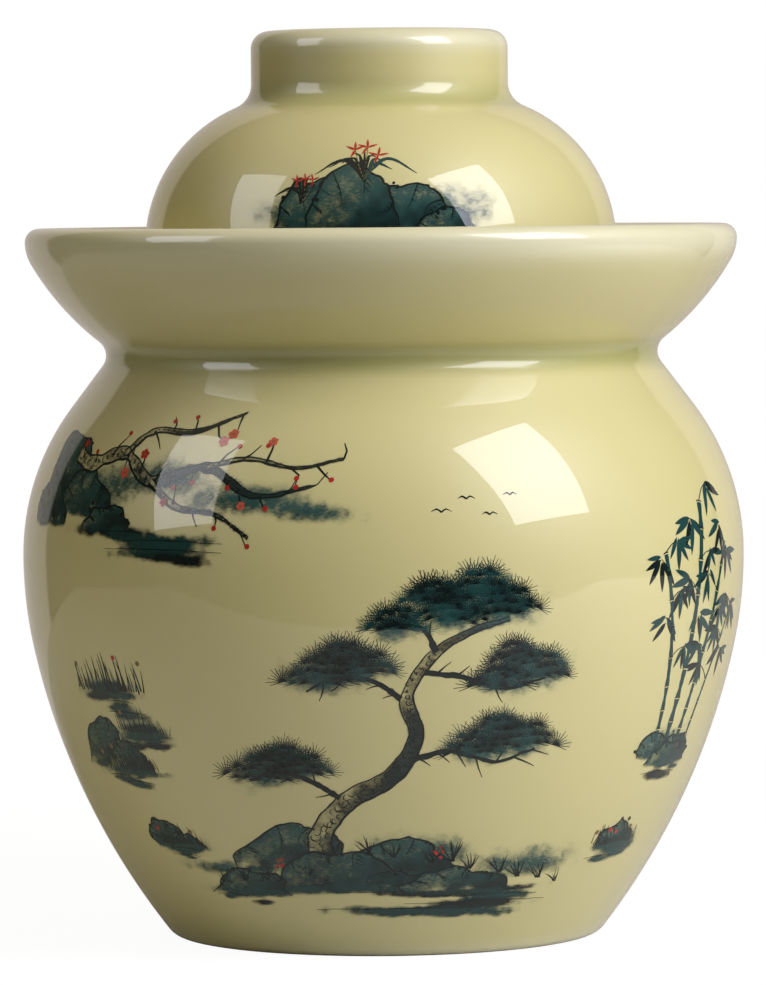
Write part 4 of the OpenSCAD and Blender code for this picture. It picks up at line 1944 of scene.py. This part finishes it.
def pot_vignettes() -> list[Vignette]:
    """The scenes round the pot, front first."""
    return [
        Vignette("pine_bank", 4, 31, [
            Haze([(-58, -2, 22, 3), (-48, -10, 26, 3), (40, 0, 26, 6), (4, 6, 24, 7)]),
            Shore((-2, -6), 124, 14, 13),
            Shore((-44, -7), 44, 10, 5),
            Rocks((-22, -4), [(-15, 3, 38, 17), (18, 1, 36, 13)]),
            old_pine(),
            Rocks((-22, -4), [(2, -4, 46, 14), (38, -6, 36, 9), (-28, -7, 28, 9)]),
            Grasses([
                (-60, -8, 5), (-52, -7, 6), (-44, -6, 6), (-30, -4, 5), (-12, 4, 7), (-4, 3, 6), (8, 1, 6), (14, 1, 8), (20, -2, 6),
                (30, -4, 7), (36, -6, 7), (44, -7, 6), (50, -9, 5),
            ], [(9, 4), (-40, 1)]),
        ], 11),
        Vignette("plum_branch", -35, 148, [
            Haze([(-34, 0, 24, 9), (-6, 4, 26, 7), (24, -2, 26, 6), (46, -6, 20, 4)]),
            Shore((-14, -14), 96, 9, 7),
            Rocks((-50, -6), [(-4, 2, 30, 24), (10, -2, 28, 15), (-12, -6, 26, 13), (22, -7, 24, 7)]),
            PlumBranch([
                ([(-50, 10), (-40, 7), (-24, 11), (-10, 2), (10, 7), (28, -2), (46, 1)], 4.4),
                ([(-24, 11), (-14, 19), (2, 19), (18, 26)], 2.2),
                ([(-10, 2), (2, -6), (16, -8), (28, -15)], 1.9),
                ([(10, 7), (24, 10), (40, 7), (54, 10)], 1.5),
            ]),
        ], 23),
        Vignette("bamboo_grove", 57, 62, [
            Haze([(0, 4, 16, 6)]),
            Shore((0, -2), 40, 7, 4),
            Rocks((0, 0), [(-6, 0, 18, 8), (7, -1, 20, 7)]),
            Bamboo([((-7, 4), 62, -6, 1.8), ((-1, 5), 76, 4, 2.4), ((6, 3), 66, 10, 2.0), ((12, 2), 48, 16, 1.3)], 9.5),
            Rocks((0, -2), [(4, -1, 26, 7)]),
        ], 31),
        Vignette("birds_front", 14, 139, [Birds([(-10, 2, 6.5), (-2, 6, 5.5), (5, 1, 5), (12, 7, 4.5)])], 5),
        Vignette("islet_left", -52, 84, [
            Haze([(-6, -22, 15, 8), (12, -12, 15, 7), (2, 1, 18, 5)]),
            Rocks((-6, -24), [(-3, 0, 24, 15), (9, -2, 22, 10)]),
            ReedIslet((2, 0), 42, 13), ReedIslet((14, -13), 28, 8), ReedIslet((2, -26), 34, 8),
        ], 41),
        Vignette("islet_low_left", -46, 36, [
            Haze([(2, 1, 13, 5)]), Rocks((0, 0), [(-2, 0, 16, 9), (6, -1, 14, 5)]), ReedIslet((3, 0), 24, 8),
        ], 43),
        Vignette("islet_low_right", 51, 34, [
            Haze([(2, 1, 14, 6)]), Rocks((0, 0), [(0, 0, 18, 8)]), ReedIslet((0, 0), 26, 8),
        ], 47),
        Vignette("bamboo_back", 176, 36, [
            Haze([(-30, 0, 22, 6), (24, 2, 26, 6)]),
            Shore((0, -6), 96, 12, 8),
            Rocks((-6, -3), [(-16, 2, 28, 12), (14, 1, 30, 15)]),
            Bamboo([((-20, 4), 84, -8, 2.0), ((-12, 6), 96, 2, 2.6), ((-3, 5), 80, 8, 2.0), ((24, 6), 66, 14, 1.6)], 9.5, 6),
            Rocks((-6, -3), [(-2, -5, 34, 10), (30, -5, 22, 8)]),
            Grasses([(-30, -4, 7), (4, 6, 7), (30, -2, 8)], [(10, 8), (-24, 3)]),
        ], 53),
        Vignette("plum_back", 138, 146, [
            PlumBranch([
                ([(50, 16), (36, 6), (20, 10), (6, 0), (-12, 5), (-26, -5)], 3.0),
                ([(20, 10), (8, 18), (-8, 20)], 1.5),
                ([(6, 0), (-4, -10), (-18, -13)], 1.3),
            ]),
        ], 59),
        Vignette("birds_back", 205, 142, [Birds([(-9, 3, 6), (0, 7, 5.5), (8, 2, 5)])], 61),
        Vignette("islet_side", -108, 60, [ReedIslet((0, 0), 38, 12), ReedIslet((-12, -15), 20, 7)], 67),
        Vignette("islet_right", 112, 66, [ReedIslet((0, 0), 36, 12), ReedIslet((12, -14), 20, 7)], 71),
    ]


def lid_vignettes() -> list[Vignette]:
    """The scenes on the outer lid's dome."""
    return [
        Vignette(f"orchid_{side}", azimuth, 226, [
            Haze([(-20, 6, 20, 6), (24, 8, 26, 8)]),
            Shore((6, 2), 70, 5, 6),
            Rocks((0, 0), [(-15, 1, 26, 17), (12, 1, 32, 15), (-2, -1, 30, 23), (27, -1, 22, 8)]),
            Orchid((1, 17), 17, 9),
            Orchid((-18, 10), 12, 7),
        ], seed)
        for side, azimuth, seed in (("front", -5, 73), ("back", 178, 79))
    ]


@dataclass(frozen=True)
class InkFinish:
    """Fired ink under the same clear gloss as the glaze round it."""

    name: str
    grain: float  # how far the brush breaks up

    def material(self, shared: SharedEffects) -> bpy.types.Material:
        """Builds the ink.

        Args:
            shared: The node groups.

        Returns:
            The material.
        """
        finish = Finish(self.name, shared)
        inputs = {"Load": finish.attribute("load"), "Flat": finish.attribute("flat", "Vector"), "Grain": self.grain}
        share = finish.group(shared.bristles, inputs).outputs["Share"]
        finish.plug(finish.attribute("tint", "Color"), "Base Color")
        finish.plug(share, "Alpha")
        finish.surface.inputs["Roughness"].default_value = HAZE_ROUGHNESS
        finish.surface.inputs["Specular IOR Level"].default_value = 0.0
        finish.surface.inputs["Coat Weight"].default_value = 1.0
        finish.gloss()
        finish.bump(finish.ripple(**RIPPLE), RIPPLE_DEPTH)
        return finish.material


@dataclass(frozen=True)
class Softbox:
    """A rectangular studio light that shows as a crisp panel in the glaze."""

    name: str
    centre: tuple[float, float, float]
    aim: tuple[float, float, float]  # unit vector from the jar to the light
    width: float
    height: float
    tilt: float  # degrees about its own axis
    glow: float  # radiance that lights the jar
    shine: float  # radiance that shows in the glaze
    glow_tint: tuple[float, float, float]
    shine_tint: tuple[float, float, float]

    def place(self) -> None:
        """Adds the light, once for what it lights and once for its reflection."""
        out = Vector(self.aim).normalized()
        side = Vector((0, 0, 1)).cross(out).normalized()
        upright = Matrix((side, out.cross(side), out)).transposed().to_4x4()
        turn = upright @ Matrix.Rotation(math.radians(self.tilt), 4, "Z")
        for radiance, tint, shows in ((self.glow, self.glow_tint, False), (self.shine, self.shine_tint, True)):
            if not radiance:
                continue
            nearer = 0.02 if shows else 0.0
            lamp = bpy.data.lights.new(self.name, "AREA")
            lamp.shape = "RECTANGLE"
            lamp.size, lamp.size_y = self.width, self.height
            lamp.energy = radiance * math.pi * self.width * self.height
            lamp.color = tint
            holder = bpy.data.objects.new(self.name, lamp)
            holder.matrix_world = Matrix.Translation(Vector(self.centre) - nearer * out) @ turn
            holder.visible_diffuse, holder.visible_glossy = not shows, shows
            bpy.context.scene.collection.objects.link(holder)


@dataclass
class Studio:
    """Floor, surroundings, lights and camera."""

    picture: tuple[int, int] = (766, 985)
    eye: tuple[float, float, float] = (0.0, -1.95, 0.236)
    look: tuple[float, float, float] = (0.0, 0.0, 0.1417)
    pixels_per_metre: float = 3107.0  # at the jar's axis
    roll: float = 0.5
    table: tuple[float, float, float, float] = (-1.06, 1.3, -0.44, 0.4)  # its west, east, front and back
    softboxes: list[Softbox] = field(default_factory=lambda: [
        Softbox("key", (0.913, -0.689, 0.935), (0.6637, -0.4491, 0.5982), 0.67, 0.95, 3.6,
                9.7, 5.8, (0.97, 0.98, 1.17), (0.96, 0.98, 1.12)),
        Softbox("fill", (-1.138, -0.415, 0.831), (-0.8208, -0.2419, 0.5175), 0.53, 0.88, 17.4,
                1.2, 3.1, (1.02, 0.98, 0.84), (0.96, 0.98, 1.06)),
        Softbox("board", (1.15, -0.3, 0.12), (0.96, -0.26, 0.1), 0.8, 0.8, 0.0,
                2.0, 0.0, (1.0, 0.97, 1.02), (1.0, 1.0, 1.0)),
    ])

    def camera(self) -> None:
        """Adds the camera at the photograph's viewing angle."""
        data = bpy.data.cameras.new("camera")
        away = (Vector(self.look) - Vector(self.eye)).length
        data.lens = data.sensor_width * self.pixels_per_metre * away / max(self.picture)
        data.clip_start, data.clip_end = 0.05, 50.0
        eye = bpy.data.objects.new("camera", data)
        way = (Vector(self.look) - Vector(self.eye)).to_track_quat("-Z", "Y")
        turn = way.to_matrix().to_4x4() @ Matrix.Rotation(math.radians(-self.roll), 4, "Z")
        eye.matrix_world = Matrix.Translation(self.eye) @ turn
        bpy.context.scene.collection.objects.link(eye)
        bpy.context.scene.camera = eye

    def floor(self) -> None:
        """Adds the pale table top."""
        west, east, front, back = self.table
        mesh = bpy.data.meshes.new("table_top")
        mesh.from_pydata([(west, front, 0), (east, front, 0), (east, back, 0), (west, back, 0)], [], [(0, 1, 2, 3)])
        top = bpy.data.objects.new("table_top", mesh)
        material = bpy.data.materials.new("table_paper")
        material.use_nodes = True
        t = ShaderTree(material.node_tree)
        paper = material.node_tree.nodes["Principled BSDF"]
        paper.inputs["Roughness"].default_value = 0.9
        glow = t.add("ShaderNodeEmission", {"Color": (1, 1, 1, 1), "Strength": 1.06})
        path = t.add("ShaderNodeLightPath").outputs
        sheen = t.mix(path["Is Glossy Ray"], (0.66, 0.66, 0.64, 1), (0.6, 0.59, 0.54, 1))
        t.tree.links.new(sheen, paper.inputs["Base Color"])
        seen = t.math("MULTIPLY", path["Is Camera Ray"], 0.9)
        mix = t.add("ShaderNodeMixShader", {0: seen, 1: paper.outputs[0], 2: glow.outputs[0]})
        t.tree.links.new(mix.outputs[0], material.node_tree.nodes["Material Output"].inputs["Surface"])
        mesh.materials.append(material)
        bpy.context.scene.collection.objects.link(top)

    def surroundings(self) -> None:
        """A dim studio with a white wall behind the jar, which the camera sees as plain white."""
        world = bpy.data.worlds.new("studio")
        bpy.context.scene.world = world
        world.use_nodes = True
        t = ShaderTree(world.node_tree)
        way = t.add("ShaderNodeTexCoord").outputs["Generated"]
        axes = t.add("ShaderNodeSeparateXYZ", {0: way}).outputs
        wall = t.remap(axes["Y"], 0.705, 0.735)
        room = t.mix(t.remap(axes["Z"], 0.4, 1.0), (0.05, 0.046, 0.036, 1), (0.55, 0.47, 0.3, 1))
        light = t.mix(wall, room, (0.55, 0.5, 0.46, 1))
        path = t.add("ShaderNodeLightPath").outputs
        shown = t.mix(path["Is Camera Ray"], light, (1, 1, 1, 1))
        background = world.node_tree.nodes["Background"]
        t.tree.links.new(shown, background.inputs["Color"])
        background.inputs["Strength"].default_value = 1.0

    def build(self) -> None:
        """Sets the whole stage."""
        self.camera()
        self.floor()
        self.surroundings()
        for box in self.softboxes:
            box.place()
        bpy.context.scene.view_settings.view_transform = "Standard"


def main() -> None:
    """Builds the jar and its stage."""
    logging.basicConfig(level=logging.INFO, format="%(name)s: %(message)s")
    Studio().build()
    shared, lathe = SharedEffects(), Lathe()
    pot = PotBody()
    pot.build(lathe, Glaze("pot_celadon").material(shared))
    lid = OuterLid(pot.moat_z, pot.lid_r, pot.collar_z)
    lid.build(lathe, Glaze("lid_celadon").material(shared))
    cover = InnerLid(pot.collar_z, pot.collar_r, pot.mouth_r)
    cover.build(lathe, Glaze("cover_celadon").material(shared))
    wash, lines = (InkFinish(name, grain).material(shared) for name, grain in (("ink_wash", 0.7), ("ink_lines", 0.5)))
    press = Press(FlatTrees(lines), wash, lines)
    belly = Skin(Outline(pot.outside(), step=1.0).profile(), "pot")
    dome = Skin(Outline(lid.shell(), step=1.0).profile(), "outer_cover")
    for skin, vignettes in ((belly, pot_vignettes()), (dome, lid_vignettes())):
        for vignette in vignettes:
            vignette.lay(press, skin)


if __name__ == "__main__":
    main()
